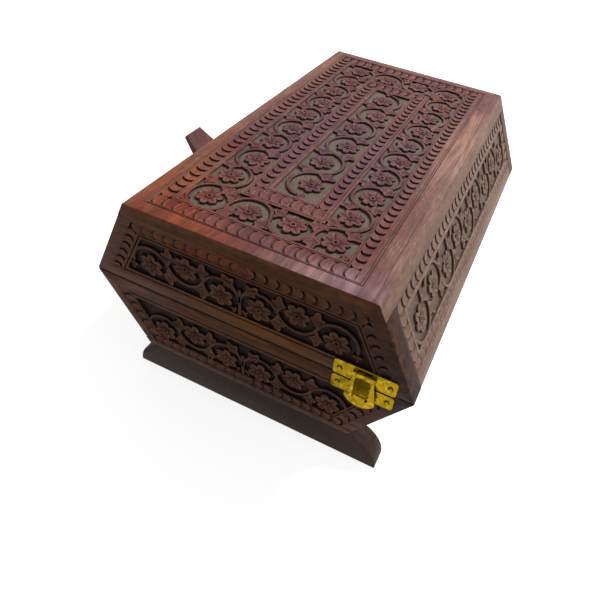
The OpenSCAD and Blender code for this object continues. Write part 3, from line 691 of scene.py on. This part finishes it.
def channel(outer, inner, bed, wear_and_highlight=0.5, radius=0.5, hair=0.0):
    """The bed of a row of scales. hair keeps its outlines apart where an edge has no row."""
    return [(outer, SKIN, wear_and_highlight, radius), (plus(outer, hair), bed, 0, radius),
        (inner, bed, 0, radius), (plus(inner, hair), SKIN, wear_and_highlight, radius)]


def field(insets, wear_and_highlight, radius, lip=LIP):
    """The edge of a sunk field."""
    return [(insets, SKIN, wear_and_highlight, radius), (plus(insets, lip), GROUND, 0, radius)]


def inset_corners(quad, insets):
    """Corners of a quadrilateral whose edges are moved in, edge by edge."""
    lines = []
    for i in range(4):
        a, b = Vector(quad[i]), Vector(quad[(i + 1) % 4])
        along = (b - a).normalized()
        lines.append((a + Vector((-along.y, along.x)) * insets[i] * MM, along))
    corners = []
    for i in range(4):
        (p, d), (q, e) = lines[i - 1], lines[i]
        t = (q - p).cross(e) / d.cross(e)
        corners.append(p + d * t)
    return corners


def rounded(corners, radius, height):
    """Loop through four corners, each rounded with a short curve."""
    loop = []
    for i in range(4):
        corner = corners[i]
        before = (corners[i - 1] - corner).normalized() * radius
        after = (corners[(i + 1) % 4] - corner).normalized() * radius
        for t in (0, 0.25, 0.5, 0.75, 1):
            p = corner + before * (1 - t) ** 2 + after * t ** 2
            loop.append((p.x, p.y, height))
    return loop


def board_mesh(name, face, back, thickness, bands):
    """Closed board. face and back are its corners."""
    loops, marks = [], []
    for share, wear_and_highlight in ((1.0, 0), (0.5 * MM / thickness, 0.9)):
        corners = [Vector(f).lerp(Vector(b), share) for f, b in zip(face, back)]
        loops.append(rounded(corners, 0.25 * MM, -thickness * share))
        marks.append((wear_and_highlight, 0))
    for insets, height, wear_and_highlight, radius in bands:
        loops.append(rounded(inset_corners(face, insets), radius * MM, height * MM))
        marks.append((wear_and_highlight, 1 if height == GROUND else 0.5 if height < -0.3 else 0))
    count = len(loops[0])
    faces = wall(len(loops), count) + [tuple((len(loops) - 1) * count + i for i in range(count))]
    mesh = bpy.data.meshes.new(name)
    mesh.from_pydata([p for loop in loops for p in loop], [], faces)
    store(mesh, "wear_and_highlight", [wear_and_highlight for wear_and_highlight, _ in marks for _ in range(count)])
    store(mesh, "shade", [shade for _, shade in marks for _ in range(count)])
    return mesh


def rows_round(layout, face, outer, inner, pitch, backs, deep=1.0):
    """Rows of scales between two sets of insets, on each edge where these differ. The rows on
    the second and fourth edge stop short of the others, by less where their edge leans."""
    corners = inset_corners(face, outer)
    widths = [(b - a) * MM for a, b in zip(outer, inner)]
    for i in range(4):
        a, b = corners[i], corners[(i + 1) % 4]
        if not widths[i]:
            continue
        if i % 2:
            upright = abs((b - a).normalized().y) ** 3      # 1 where it doesn't lean
            a, b = (a.lerp(b, widths[i - 1] * upright / (b - a).length),
                b.lerp(a, widths[(i + 1) % 4] * upright / (b - a).length))
        scale_row(layout, a, b, widths[i], pitch, backs[i], deep)


def settle(name, mesh, node, body, crease):
    """A finished mesh as a piece in a solid's place. Edges over crease degrees stay sharp."""
    mesh.shade_smooth()
    mesh.set_sharp_from_angle(angle=math.radians(crease))
    piece = show(name, mesh)
    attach(piece, body)
    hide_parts(node)


def carve(name, node, body, mesh, layout, matrix, finish, edges=()):
    """Runs the carving tree on a board and sets the board in its place. edges gives other
    finishes to the faces that look most along an axis."""
    plan = layout.to_object()
    made = grown(mesh, CARVING, {"Layout": plan, "Motifs": motifs, "Stem profile": stem_profile,
        "Wobble": WOBBLE, "Timber": finish})
    bpy.data.objects.remove(plan)
    made.transform(matrix)
    for axis, other in edges:
        made.materials.append(other)
        for face in made.polygons:
            if abs(face.normal["XYZ".index(axis)]) > 0.7 and face.area > 20 * MM * MM:
                face.material_index = len(made.materials) - 1
    settle(name, made, node, body, 32)


def frame_of(origin, across, up):
    """Matrix from a board's plane to the box; the face looks along across x up."""
    across, up = Vector(across), Vector(up)
    matrix = Matrix((across, up, across.cross(up))).transposed().to_4x4()
    matrix.translation = Vector(origin)
    return matrix


def end_layout(stem_x, low_y, high_y, spans, foot_y):
    """In millimetres from the seam's middle: where the stem stands, the two heights of the
    flowers, their distances from the stem, and the height of the stem's foot."""
    layout = Layout()
    for side in (-1, 1):
        flowers = [((stem_x + side * s) * MM, (high_y if i % 2 else low_y) * MM)
            for i, s in enumerate(spans)]
        first = ((stem_x - side * spans[0]) * MM, low_y * MM)
        last = (2 * flowers[2][0] - flowers[1][0] + side * MM, flowers[1][1] - 8 * MM)
        tip(layout, vine(layout, [first] + flowers + [last], side, FLOWER_SIX, size=0.98))
        layout.put(LEAF if side > 0 else LEAF_LEFT, (stem_x + side * 1.6) * MM, (high_y - 0.5) * MM,
            math.radians(90 - side * 50), (0.95, 0.95, 1))
        layout.put(BUD, (stem_x + side * 1.2) * MM, (foot_y + 1.2) * MM,
            math.radians(90 - side * 62), (0.8, 0.8, 1))
    layout.stem([(stem_x * MM, y * MM) for y in (foot_y, low_y, high_y + 1)], [1.5, 1.2, 0.9])
    return layout


def outline(half_low, low, half_high, high):
    """Corners of a board: half its width at its lower and upper edge, and their heights."""
    return [(-half_low, low), (half_low, low), (half_high, high), (-half_high, high)]


def end_board(name, node, body, matrix, low, high, plan, outer, inner, pitch, backs, bands):
    """An end board between two heights. plan goes to its layout, and outer, inner, pitch and
    backs to its rows of scales."""
    face = outline(half_width(low), low - SEAM, half_width(high), high - SEAM)
    layout = end_layout(*plan)
    rows_round(layout, face, outer, inner, pitch * MM, backs, SHALLOW_SCALES)
    mesh = board_mesh(node, face, face, END_BOARD, EASED + bands)
    carve(name, node, body, mesh, layout, matrix, end_timber, [("Z", shaded_rim_timber)])


# insets are from the lower, right, upper and left edge
LID_END = dict(low=LID_RIM, high=CEILING, plan=(-1.6, 15.6, 21.6, (8.7, 25.4, 42.6), 8.8),
    outer=(0, 6.0, 0.9, 6.0), inner=(0, 10.0, 5.4, 10.0), pitch=5.2, backs=(0, 0, 0.5, 1),
    bands=channel((5.9, 6.0, 0.9, 6.0), (5.96, 10.0, 5.4, 10.0), SHALLOW, 0.1, hair=(0.02, 0, 0, 0))
    + groove((6.2, 11.0, 6.3, 11.0), 0.7, 0.6)
    + field((8.2, 12.4, 7.6, 12.4), 0.9, 1.5, (0.15, 0.2, 0.15, 0.2)))
BASE_END = dict(low=FLOOR, high=BASE_RIM, plan=(-0.4, -23.9, -17.8, (8.6, 25.2, 41.8), -29.2),
    outer=(0.5, 5.0, 6.3, 5.0), inner=(4.3, 9.4, 6.3, 9.4), pitch=4.9, backs=(0.5, 0, 0, 1),
    bands=channel((0.5, 5.0, 6.3, 5.0), (4.3, 9.4, 6.36, 9.4), SHALLOW, 0.1, hair=(0, 0, 0.02, 0))
    + groove((4.7, 10.1, 6.7, 10.1), 0.7, 0.6) + field((5.5, 11.4, 8.7, 11.4), 0.9, 1.5))

front_frame = frame_of((CENTRE_X, FRONT, SEAM), (1, 0, 0), (0, 0, 1))
rear_frame = frame_of((CENTRE_X, REAR, SEAM), (-1, 0, 0), (0, 0, 1))
end_board("front_lid_carving", "lid_front_end", "lid", front_frame, **LID_END)
end_board("rear_lid_carving", "lid_rear_end", "lid", rear_frame, **LID_END)
end_board("front_base_carving", "base_front_end", "base", front_frame, **BASE_END)
end_board("rear_base_carving", "base_rear_end", "base", rear_frame, **BASE_END)

# ---------------------------------------------------------------------------
# Slanted side boards of lid and base
# Boards 7 mm thick, stained paler and glued between the end boards, each with
# nine flowers in a row inside scales. The edge at the box's ridge is plain.
# ---------------------------------------------------------------------------

side_timber = timber("side_timber", "Y", pale=tone(130, 100, 85), deep=tone(100, 75, 66),
    crevice=tone(76, 59, 53), ground=tone(110, 91, 83), worn_and_highlit=tone(146, 118, 101), rub_and_highlight=0.6, ticks=0.3)

SIDE_BOARD = 7 * MM                                 # thickness
SIDE_LENGTH = REAR - FRONT - 2 * END_BOARD
SIDE_FLOWERS = 9
VINE_SHORTER = 15 * MM                              # than the board
SIDE_SWAY = 1.5 * MM                                # of a flower off the row's middle
FIELD_FROM_RIM, FIELD_FROM_FAR = 12.8, 7.6          # insets of the sunk field


def side_vine(layout, middle):
    """A row of flowers at a height, whose stem has a bud at each end."""
    run = SIDE_LENGTH - VINE_SHORTER
    step = run / SIDE_FLOWERS
    centres = [(-run / 2 + step * (i + 0.5), middle + (SIDE_SWAY if i % 2 else -SIDE_SWAY))
        for i in range(-1, SIDE_FLOWERS + 1)]
    path = vine(layout, centres, -1, FLOWER_SIX)
    tip(layout, path)
    tip(layout, path[::-1])


def slanted_board(name, node, body, matrix, rim, far, angle, up):
    """Board from the height of its rim to a far one. up is 1 on the lid and -1 on the base. In
    its plane X runs along the box and Y is the distance from the box's ridge, upwards."""
    near, away = abs(rim - SEAM) / math.sin(angle), abs(far - SEAM) / math.sin(angle)
    low, high = sorted((up * near, up * away))
    face = outline(SIDE_LENGTH / 2, low, SIDE_LENGTH / 2, high)
    back = [(x, y - up * SIDE_BOARD / math.tan(angle)) for x, y in face]

    def inset(at_rim, at_end, at_far):
        return (at_rim, at_end, at_far, at_end) if up > 0 else (at_far, at_end, at_rim, at_end)

    outer, inner = inset(7.2, 0.9, 0.9), inset(11.8, 6.0, 5.7)
    bands = (EASED + groove(inset(5.6, 0.45, 0.45), 0.4, 0.4) + channel(outer, inner, SHALLOW)
        + field(inset(FIELD_FROM_RIM, 7.4, FIELD_FROM_FAR), 0.9, 1.2))
    layout = Layout()
    rows_round(layout, face, outer, inner, 5.5 * MM, (0, 0, 0, 0), SHALLOW_SCALES)
    side_vine(layout, up * (near + away + (FIELD_FROM_RIM - FIELD_FROM_FAR) * MM) / 2)
    mesh = board_mesh(node, face, back, SIDE_BOARD, bands)
    carve(name, node, body, mesh, layout, matrix, side_timber)


for way, label in ((1, "opening"), (-1, "hinge")):
    ridge_point = (CENTRE_X + way * RIDGE, (FRONT + REAR) / 2, SEAM)
    for body, up, rim, far, lean in (("lid", 1, LID_RIM, CEILING, LID_LEAN),
            ("base", -1, BASE_RIM, FLOOR, BASE_LEAN)):
        angle = math.atan(1 / lean)
        slope = (-up * way * math.cos(angle), 0, math.sin(angle))
        slanted_board(f"{label}_side_{body}_carving", f"{body}_{label}_side", body,
            frame_of(ridge_point, (0, way, 0), slope), rim, far, angle, up)

# ---------------------------------------------------------------------------
# Top board
# One board, 7 mm thick, with slanted edges and an uneven red stain. Flowers
# run round it between two rings of scales, cut deeper than the other boards',
# and six more stand in a row in its middle.
# ---------------------------------------------------------------------------

# (colour, distance right of the middle and back from the front in millimetres, radius,
# strength), with a fifth item where the patch is drawn out; most are stains, two are painted sheen
TOP_STAINS_AND_SHEEN = [
    ((148, 74, 30), -50, 20, 50, 0.8), ((128, 26, 26), -34, 11, 17, 0.6),
    ((124, 18, 26), -41, 66, 14, 0.75), ((98, 70, 84), 4, 90, 75, 0.75),
    ((84, 58, 84), 44, 17, 2.2, 0.7), ((154, 114, 104), 36, 120, 70, 0.3),
    ((168, 128, 110), 52, 120, 18, 0.8, (1, 5, 1)), ((146, 106, 92), 52, 30, 15, 0.7, (1, 2.4, 1)),
    # Painted sheen: the second patch here, a pale pink band along the front edge at the right.
    ((156, 74, 38), -27, 0, 18, 0.85, (2.6, 1, 1)), ((176, 136, 136), 30, 0, 14, 0.85, (3, 1, 1)),
    ((150, 92, 58), -54, 50, 12, 0.75, (1, 4.5, 1)), ((174, 122, 98), -58, 150, 18, 0.85, (1, 7, 1)),
    # Painted sheen: a pale lilac patch at the front right corner.
    ((150, 124, 132), 44, 3, 20, 0.5)]
top_timber = timber("top_timber", "Y", pale=tone(130, 80, 70), deep=tone(98, 57, 60),
    crevice=tone(40, 20, 23), ground=tone(125, 113, 98), worn_and_highlit=tone(150, 104, 100), polish=0.16,
    rub_and_highlight=0.6, ticks=0.4, vein=CENTRE_X + half_width(TOP) - 2.6 * MM,
    stains_and_painted_light=[(tone(*colour), (CENTRE_X + x * MM, FRONT + y * MM, TOP), radius * MM, *rest)
        for colour, x, y, radius, *rest in TOP_STAINS_AND_SHEEN])

FLOWER_SEVEN = 6
flower("g_flower_seven", 7, 6.2 * MM)

length_half = (REAR - FRONT) / 2
top_face, top_back = [outline(half_width(z), -length_half, half_width(z), length_half)
    for z in (TOP, CEILING)]
# distances from the front, right, rear and left edges
BEADS_OUT, BEADS_IN = (6.9, 12.3, 6.9, 7.6), (12.9, 16.8, 12.9, 13.2)
FIELD_OUT, FIELD_IN = (14.7, 18.2, 14.9, 15.2), (31.2, 35.8, 31.2, 33.8)
FRAME_OUT, FRAME_IN = (33.4, 38.2, 33.4, 35.6), (39.4, 42.4, 39.4, 40.2)
HEART = (41.6, 44.2, 41.6, 43.0)
CHANNEL = -1.1                      # bed of the rows of scales
top_bands = (EASED + groove((5.5, 8.6, 5.5, 5.8)) + groove((6.2, 9.6, 6.2, 6.4), 0.4, 0.3)
    + channel(BEADS_OUT, BEADS_IN, CHANNEL, radius=0.4) + groove(plus(BEADS_IN, 0.5), 0.4, 0.4)
    + field(FIELD_OUT, 1, 0.6) + field(FIELD_IN, 1, 0.6, -LIP)[::-1]
    + groove(plus(FIELD_IN, 0.9), 0.4, 0.4)
    + channel(FRAME_OUT, FRAME_IN, CHANNEL, radius=0.4) + groove(plus(FRAME_IN, 0.5), 0.4, 0.4)
    + field(HEART, 1, 0.6))

BORDER_FLOWERS = (3, 9, 3, 9)       # along each edge, with the corner that it starts from
BORDER_SWAY, HEART_SWAY = 1.2 * MM, 2.2 * MM
HEART_FLOWERS = 6
TOP_STEM = 1.25                     # the stems' thickness, as a share of the others'


def top_layout():
    layout = Layout()
    for outer, inner in ((BEADS_OUT, BEADS_IN), (FRAME_OUT, FRAME_IN)):
        rows_round(layout, top_face, outer, inner, 4.9 * MM, (1, 1, 1, 0), 0.85)
    corners = inset_corners(top_face, [(a + b) / 2 for a, b in zip(FIELD_OUT, FIELD_IN)])
    border = []
    for i, count in enumerate(BORDER_FLOWERS):
        a, b = corners[i], corners[(i + 1) % 4]
        inward = Vector((a.y - b.y, b.x - a.x)).normalized()
        for k in range(count):
            point = a.lerp(b, k / count)
            if k:
                point = point + inward * (-BORDER_SWAY if len(border) % 2 else BORDER_SWAY)
            border.append((point.x, point.y))
    vine(layout, border, -1, FLOWER_SEVEN, closed=True, thick=TOP_STEM)

    heart = inset_corners(top_face, HEART)
    x = (heart[0].x + heart[1].x) / 2
    gap = (heart[2].y - heart[1].y) / (HEART_FLOWERS + 0.2)
    row = [(x + (-HEART_SWAY if i % 2 else HEART_SWAY), heart[0].y + gap * (i + 0.6))
        for i in range(-1, HEART_FLOWERS + 1)]
    path = vine(layout, row, 1, FLOWER_SEVEN, thick=TOP_STEM)
    tip(layout, path, 1.3)
    tip(layout, path[::-1], 1.3)

    # a bud in each corner of the field points into it
    for insets, way in ((FIELD_OUT, -1), (FIELD_IN, 1)):
        for corner in inset_corners(top_face, insets):
            lean = math.atan2(math.copysign(1, way * corner.y), math.copysign(1, way * corner.x))
            layout.put(BUD, *polar(corner, 0.5 * MM, lean), lean, (1.05, 1.05, 1))
    return layout


top_mesh = board_mesh("top_board_panel", top_face, top_back, TOP - CEILING, top_bands)
carve("top_carving", "top_board_panel", "lid", top_mesh, top_layout(),
    frame_of((CENTRE_X, (FRONT + REAR) / 2, TOP), (1, 0, 0), (0, 1, 0)), top_timber,
    [("Y", end_timber), ("X", side_timber)])

# ---------------------------------------------------------------------------
# Bottom board and feet
# The bottom board is glued under the base. Each foot is sawn from 10 mm board,
# its ends rounded by hand, and screwed up into the bottom board.
# ---------------------------------------------------------------------------

WELD = 0.002 * MM                   # points closer than this are one
FLAT, SHARP = math.radians(0.6), math.radians(28)


def eased(name, node, body, finish, edge, steps=3, corner=0.0, dull=None):
    """A piece with its solid's shape, whose sharp edges are rounded, worn and given a painted
    highlight. corner rounds the outermost corners of a plate that stands across Y, and
    dull(point) says, from 0 to 1, where a painted dark reflection lies on its faces."""
    mesh = nodes[node].data.copy()
    mesh.name = name
    work = bmesh.new()
    work.from_mesh(mesh)
    bmesh.ops.remove_doubles(work, verts=work.verts, dist=WELD)
    bmesh.ops.dissolve_limit(work, angle_limit=FLAT, verts=work.verts, edges=work.edges)

    def round_off(edges, radius, segments):
        return bmesh.ops.bevel(work, geom=edges, offset=radius, segments=segments, profile=0.5,
            affect="EDGES", clamp_overlap=True)["faces"]

    if corner:
        low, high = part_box(node)
        round_off([e for e in work.edges
            if (e.verts[0].co - e.verts[1].co).cross(Vector((0, 1, 0))).length < 0.01 * MM
            and min(abs(e.verts[0].co.x - x) for x in (low.x, high.x)) < 0.01 * MM], corner, 4)
    arris = set(round_off([e for e in work.edges
        if len(e.link_faces) == 2 and e.calc_face_angle(0) > SHARP], edge, steps))
    wear_and_highlight = work.verts.layers.float.new("wear_and_highlight")
    shade = work.verts.layers.float.new("shade")
    for point in work.verts:
        if arris.issuperset(point.link_faces):
            point[wear_and_highlight] = 1
        elif dull:
            point[shade] = dull(point.co)
    bmesh.ops.triangulate(work, faces=[f for f in work.faces if len(f.verts) > 4])
    work.to_mesh(mesh)
    work.free()
    mesh.materials.clear()
    mesh.materials.append(finish)
    settle(name, mesh, node, body, 40)


dark_timber = timber("dark_timber", "X", pale=tone(66, 49, 42), deep=tone(50, 37, 33),
    crevice=tone(20, 12, 10), ground=tone(30, 20, 16), worn_and_highlit=tone(92, 68, 54), polish=0.06)
lip_timber = timber("lip_timber", "Y", pale=tone(92, 64, 44), deep=tone(60, 40, 30),
    crevice=tone(20, 12, 10), ground=tone(30, 20, 16), worn_and_highlit=tone(110, 80, 56), polish=0.06)
eased("bottom_lip", "bottom_board", "base", lip_timber, 1.1 * MM)
for which in ("front", "rear"):
    eased(f"{which}_foot_rounded", f"{which}_foot", "base", dark_timber, 0.7 * MM)

# ---------------------------------------------------------------------------
# Lid stop
# A tapered hardwood tongue, screwed to the hinge side of the base. The open
# lid leans back against it.
# ---------------------------------------------------------------------------

stop_timber = timber("stop_timber", "X", pale=tone(126, 78, 76), deep=tone(92, 54, 54),
    crevice=tone(40, 24, 22), ground=tone(60, 40, 36), worn_and_highlit=tone(116, 78, 72))
eased("lid_stop_tongue", "lid_stop", "base", stop_timber, 0.6 * MM)

# ---------------------------------------------------------------------------
# Linings
# Red flocked paper over thin card, glued to the inside of the base and the
# lid, with soft edges.
# ---------------------------------------------------------------------------


def flock(name, deep, lit, sheen):
    """Short upright fibres, brushed this way and that."""
    material, g = new_material(name)
    place = g.add("ShaderNodeTexCoord").outputs["Object"]
    pile = noise(g, place, 2600, 3, 0.7)
    brushed = noise(g, place, 48, 3, 0.55, 0.8)
    colour = mix(g, ramp(g, pile, 0.35, 0.7), deep, lit)
    colour = mix(g, ramp(g, brushed, 0.4, 0.62), colour, mix(g, 0.45, colour, deep))
    fibres = g.add("ShaderNodeBump", {"Height": g.calc("MULTIPLY_ADD", brushed, 0.5, pile),
        "Strength": 0.5, "Distance": 0.2 * MM}).outputs[0]
    paper = g.add("ShaderNodeBsdfPrincipled", {"Base Color": colour, "Roughness": 0.95,
        "Normal": fibres, "Sheen Weight": 0.55, "Sheen Roughness": 0.4, "Sheen Tint": sheen})
    g.add("ShaderNodeOutputMaterial", {"Surface": paper.outputs[0]})
    return material


red_flock = flock("red_flock", tone(78, 8, 16), tone(132, 20, 30), tone(226, 120, 122))
for node, body in (("base_floor_lining", "base"), ("base_wall_lining", "base"),
        ("lid_top_lining", "lid"), ("lid_wall_lining", "lid")):
    eased(f"{node}_flock", node, body, red_flock, 0.3 * MM)

# ---------------------------------------------------------------------------
# Hinges and hasp
# Stamped and curled brass sheet: two butt hinges with three knuckles, and a
# hasp on a plate with two ears, whose eye drops over a bent catch.
# ---------------------------------------------------------------------------


def metal(name, bright, tarnish, roughness):
    """Brushed sheet or wire, blotched with tarnish, bright where it is rubbed and where edges carry a
    painted highlight, and darkened by painted shade and painted reflection where the shade attribute
    says.
    """
    material, g = new_material(name)
    place = g.add("ShaderNodeTexCoord").outputs["Object"]
    blotches = noise(g, place, 190, 4, 0.6)
    specks = noise(g, place, 900, 2, 0.6)
    brushing = g.add("ShaderNodeMapping", {"Vector": place, "Scale": (0.12, 1, 1)}).outputs[0]
    lines = noise(g, brushing, 5200, 2, 0.6)
    colour = mix(g, ramp(g, blotches, 0.46, 0.8), bright, tarnish)
    colour = mix(g, ramp(g, specks, 0.6, 0.78), colour, mix(g, 0.6, colour, tarnish))
    glints = ramp(g, noise(g, place, 460, 3, 0.6), 0.5, 0.7)
    colour = mix(g, glints, colour, [min(1, 1.5 * c + 0.025) for c in bright])
    # Rubbed edges brighten, also as a painted highlight.
    colour = mix(g, g.calc("MULTIPLY", attribute(g, "wear_and_highlight"), 0.7), colour, bright)
    # Painted shade in slots, recesses and rings round the heads, and a painted dark reflection on the
    # hasp's tongue, mix towards shade_tone.
    shade_tone = (tarnish[0] * 0.8, tarnish[1] * 0.85, 0, 1)
    colour = mix(g, attribute(g, "shade"), colour, shade_tone)
    rough = g.add("ShaderNodeMapRange", {"Value": mix(g, 0.35, blotches, lines),
        "To Min": roughness - 0.1, "To Max": roughness + 0.2}).outputs[0]
    scratches = g.add("ShaderNodeBump", {"Height": lines, "Strength": 0.25,
        "Distance": 0.03 * MM}).outputs[0]
    dents = g.add("ShaderNodeBump", {"Height": blotches, "Strength": 0.8, "Distance": 0.25 * MM,
        "Normal": scratches}).outputs[0]
    shader = g.add("ShaderNodeBsdfPrincipled", {"Base Color": colour, "Metallic": 1.0,
        "Specular Tint": [(c + 1) / 2 for c in bright], "Roughness": rough, "Normal": dents})
    g.add("ShaderNodeOutputMaterial", {"Surface": shader.outputs[0]})
    return material


brass = metal("brass", tone(146, 120, 16), tone(66, 50, 3), 0.27)
hasp_low, hasp_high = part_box("hasp")
TONGUE_HALF = 2.95 * MM
TONGUE_END, TONGUE_ROOT = hasp_low.z + 8.5 * MM, hasp_high.z - 1.6 * MM
REFLECTION_DARKENING_DEPTH = 1.4 * MM            # the painted dark reflection grows by 1 over this


def tongue_dark_reflection(point):
    """Painted dark reflection on the sprung tongue only, darkest where it lies nearest the box."""
    off_middle = abs(point.x - (hasp_low.x + hasp_high.x) / 2)
    if off_middle > TONGUE_HALF or not TONGUE_END < point.z < TONGUE_ROOT:
        return 0
    return min(0.95, 0.6 + (point.y - hasp_low.y) / REFLECTION_DARKENING_DEPTH)


for node, body, edge, corner, dull in (("base_hinge_leaves", "base", 0.12, 0, None),
        ("lid_hinge_leaves", "lid", 0.12, 0, None), ("hinge_pins", "base", 0.12, 0, None),
        ("catch_plate", "base", 0.14, 1.3, None), ("hasp_plate", "lid", 0.14, 1.3, None),
        ("hasp_pin", "lid", 0.1, 0, None), ("hasp", "hasp", 0.16, 0, tongue_dark_reflection)):
    eased(f"{node}_brass", node, body, brass, edge * MM, 2, corner * MM, dull)

# ---------------------------------------------------------------------------
# Screws, nails and brads
# Round-headed brass screws hold the hinges, brass escutcheon pins the plates;
# steel screws hold the feet and the stop, and steel brads the top board.
# ---------------------------------------------------------------------------

STEPS = 24
ANGLES = [2 * math.pi * i / STEPS for i in range(STEPS)]
RECESS = 0.55                       # its depth


def turned(name, profile, recess):
    """Fixing with a unit shank radius: profile is (radius, height, shade) from its tip up to
    the edge of the recess, whose outline recess(angle) gives."""
    loops = [[(r * math.cos(a), r * math.sin(a), z) for a in ANGLES] for r, z, _ in profile]
    rim = profile[-1][1]
    for share, drop in ((1, 0), (0.92, RECESS)):
        loops.append([(recess(a) * share * math.cos(a), recess(a) * share * math.sin(a), rim - drop)
            for a in ANGLES])
    mesh = bpy.data.meshes.new(name)
    points, faces = cone(loops, (0, 0, rim - RECESS))
    mesh.from_pydata(points, [], faces)
    shades = [s for _, _, s in profile] + [0.3, 1]
    store(mesh, "shade", [s for s in shades for _ in ANGLES] + [1])
    return bpy.data.objects.new(name, mesh)


def crossed(angle):
    return 0.28 + 0.85 * abs(math.cos(2 * angle)) ** 6


def dimple(angle):
    return 0.3


screw_master = turned("screw", [(0.2, -7, 0), (0.95, -5.6, 0), (1, -0.6, 0), (2, -0.35, 0.6),
    (1.98, 0.15, 0), (1.75, 0.6, 0), (1.3, 0.9, 0)], crossed)
pin_master = turned("pin", [(0.3, -7, 0), (1, -6, 0), (1, -0.5, 0), (1.9, -0.3, 0.6),
    (1.88, -0.06, 0.7), (1.3, -0.1, 1), (1.22, 0.3, 0.3), (0.9, 0.7, 0), (0.5, 0.75, 0)], dimple)
brad_master = turned("brad", [(0.3, -9, 0), (1, -8, 0), (1, -0.4, 0), (1.05, -0.2, 0.5),
    (1.0, 0.02, 0.4), (0.9, 0.06, 0)], dimple)


def solids(node):
    """Outer end, outward direction and greatest radius of each fixing in a node."""
    work = bmesh.new()
    work.from_mesh(nodes[node].data)
    bmesh.ops.remove_doubles(work, verts=work.verts, dist=WELD)
    left = set(work.verts)
    found = []
    while left:
        reached = {left.pop()}
        edge = set(reached)
        while edge:
            edge = {other for v in edge for e in v.link_edges for other in e.verts} & left
            reached |= edge
            left -= edge
        points = np.array([v.co for v in reached])
        middle = (points.min(0) + points.max(0)) / 2
        axis = np.linalg.svd(points - middle, full_matrices=False)[2][0]
        away = (points - middle) @ axis
        radii = np.linalg.norm(points - middle - np.outer(away, axis), axis=1)
        if radii[away > 0].max() < radii[away < 0].max():       # the head is the thick end
            axis, away = -axis, -away
        found.append((middle + axis * away.max(), axis, radii.max()))
    work.free()
    return found


def fixing_tree():
    """Puts one fixing on each point of a layout, turned along the point's own direction, with
    a turn of its own that the seed gives."""
    g, given = new_tree("fixings", "Places", [("Fixing", "Object"), ("Seed", "Int"),
        ("Metal", "Material")], "Fixings")
    master = g.add("GeometryNodeObjectInfo", {"Object": given["Fixing"]}).outputs["Geometry"]
    turn = g.add("FunctionNodeRandomValue", {2: 0.0, 3: 3.0, "Seed": given["Seed"]},
        data_type="FLOAT").outputs[1]
    spin = g.add("ShaderNodeCombineXYZ", {"Z": turn}).outputs[0]
    aimed = g.add("FunctionNodeAlignRotationToVector", {"Vector": named(g, "out", "FLOAT_VECTOR")},
        axis="Z").outputs[0]
    rotation = g.add("FunctionNodeRotateRotation", {0: aimed, 1: spin},
        rotation_space="LOCAL").outputs[0]
    placed = g.add("GeometryNodeInstanceOnPoints", {"Points": given["Places"], "Instance": master,
        "Rotation": rotation, "Scale": named(g, "size", "FLOAT_VECTOR")}).outputs[0]
    end_tree(g, placed, given["Metal"], "Fixings")
    return g.tree


FIXINGS = fixing_tree()


def fixings(name, node, body, master, head, finish):
    """The fixings of a node. head is the greatest radius of their master."""
    top = max(v.co.z for v in master.data.vertices)
    tops, outs, sizes = [], [], []
    for end, out, radius in solids(node):
        size = radius / head
        tops.append(Vector(end) - Vector(out) * (top * size))
        outs += list(out)
        sizes += [size] * 3
    mesh = bpy.data.meshes.new("places")
    mesh.from_pydata(tops, [], [])
    store(mesh, "out", outs, "FLOAT_VECTOR")
    store(mesh, "size", sizes, "FLOAT_VECTOR")
    made = grown(mesh, FIXINGS, {"Fixing": master, "Seed": len(name), "Metal": finish})
    settle(name, made, node, body, 38)


steel = metal("steel", tone(152, 150, 147), tone(90, 80, 75), 0.42)
brad_steel = metal("brad_steel", tone(92, 84, 82), tone(50, 42, 40), 0.5)
for name, node, body, slot_name, master, head, finish in (
        ("hinge_screws_on_base", "base_hinge_screws", "base", "brass", screw_master, 2.0, brass),
        ("hinge_screws_on_lid", "lid_hinge_screws", "lid", "brass", screw_master, 2.0, brass),
        ("pins_of_catch", "catch_nails", "base", "brass", pin_master, 1.9, brass),
        ("pins_of_hasp_plate", "hasp_plate_nails", "lid", "brass", pin_master, 1.9, brass),
        ("screws_of_feet", "foot_screws", "base", "steel", screw_master, 2.0, steel),
        ("screws_of_stop", "lid_stop_screws", "base", "steel", screw_master, 2.0, steel),
        ("brads_of_top", "top_board_brads", "lid", "steel", brad_master, 1.05, brad_steel)):
    fixings(name, node, body, master, head, finish)
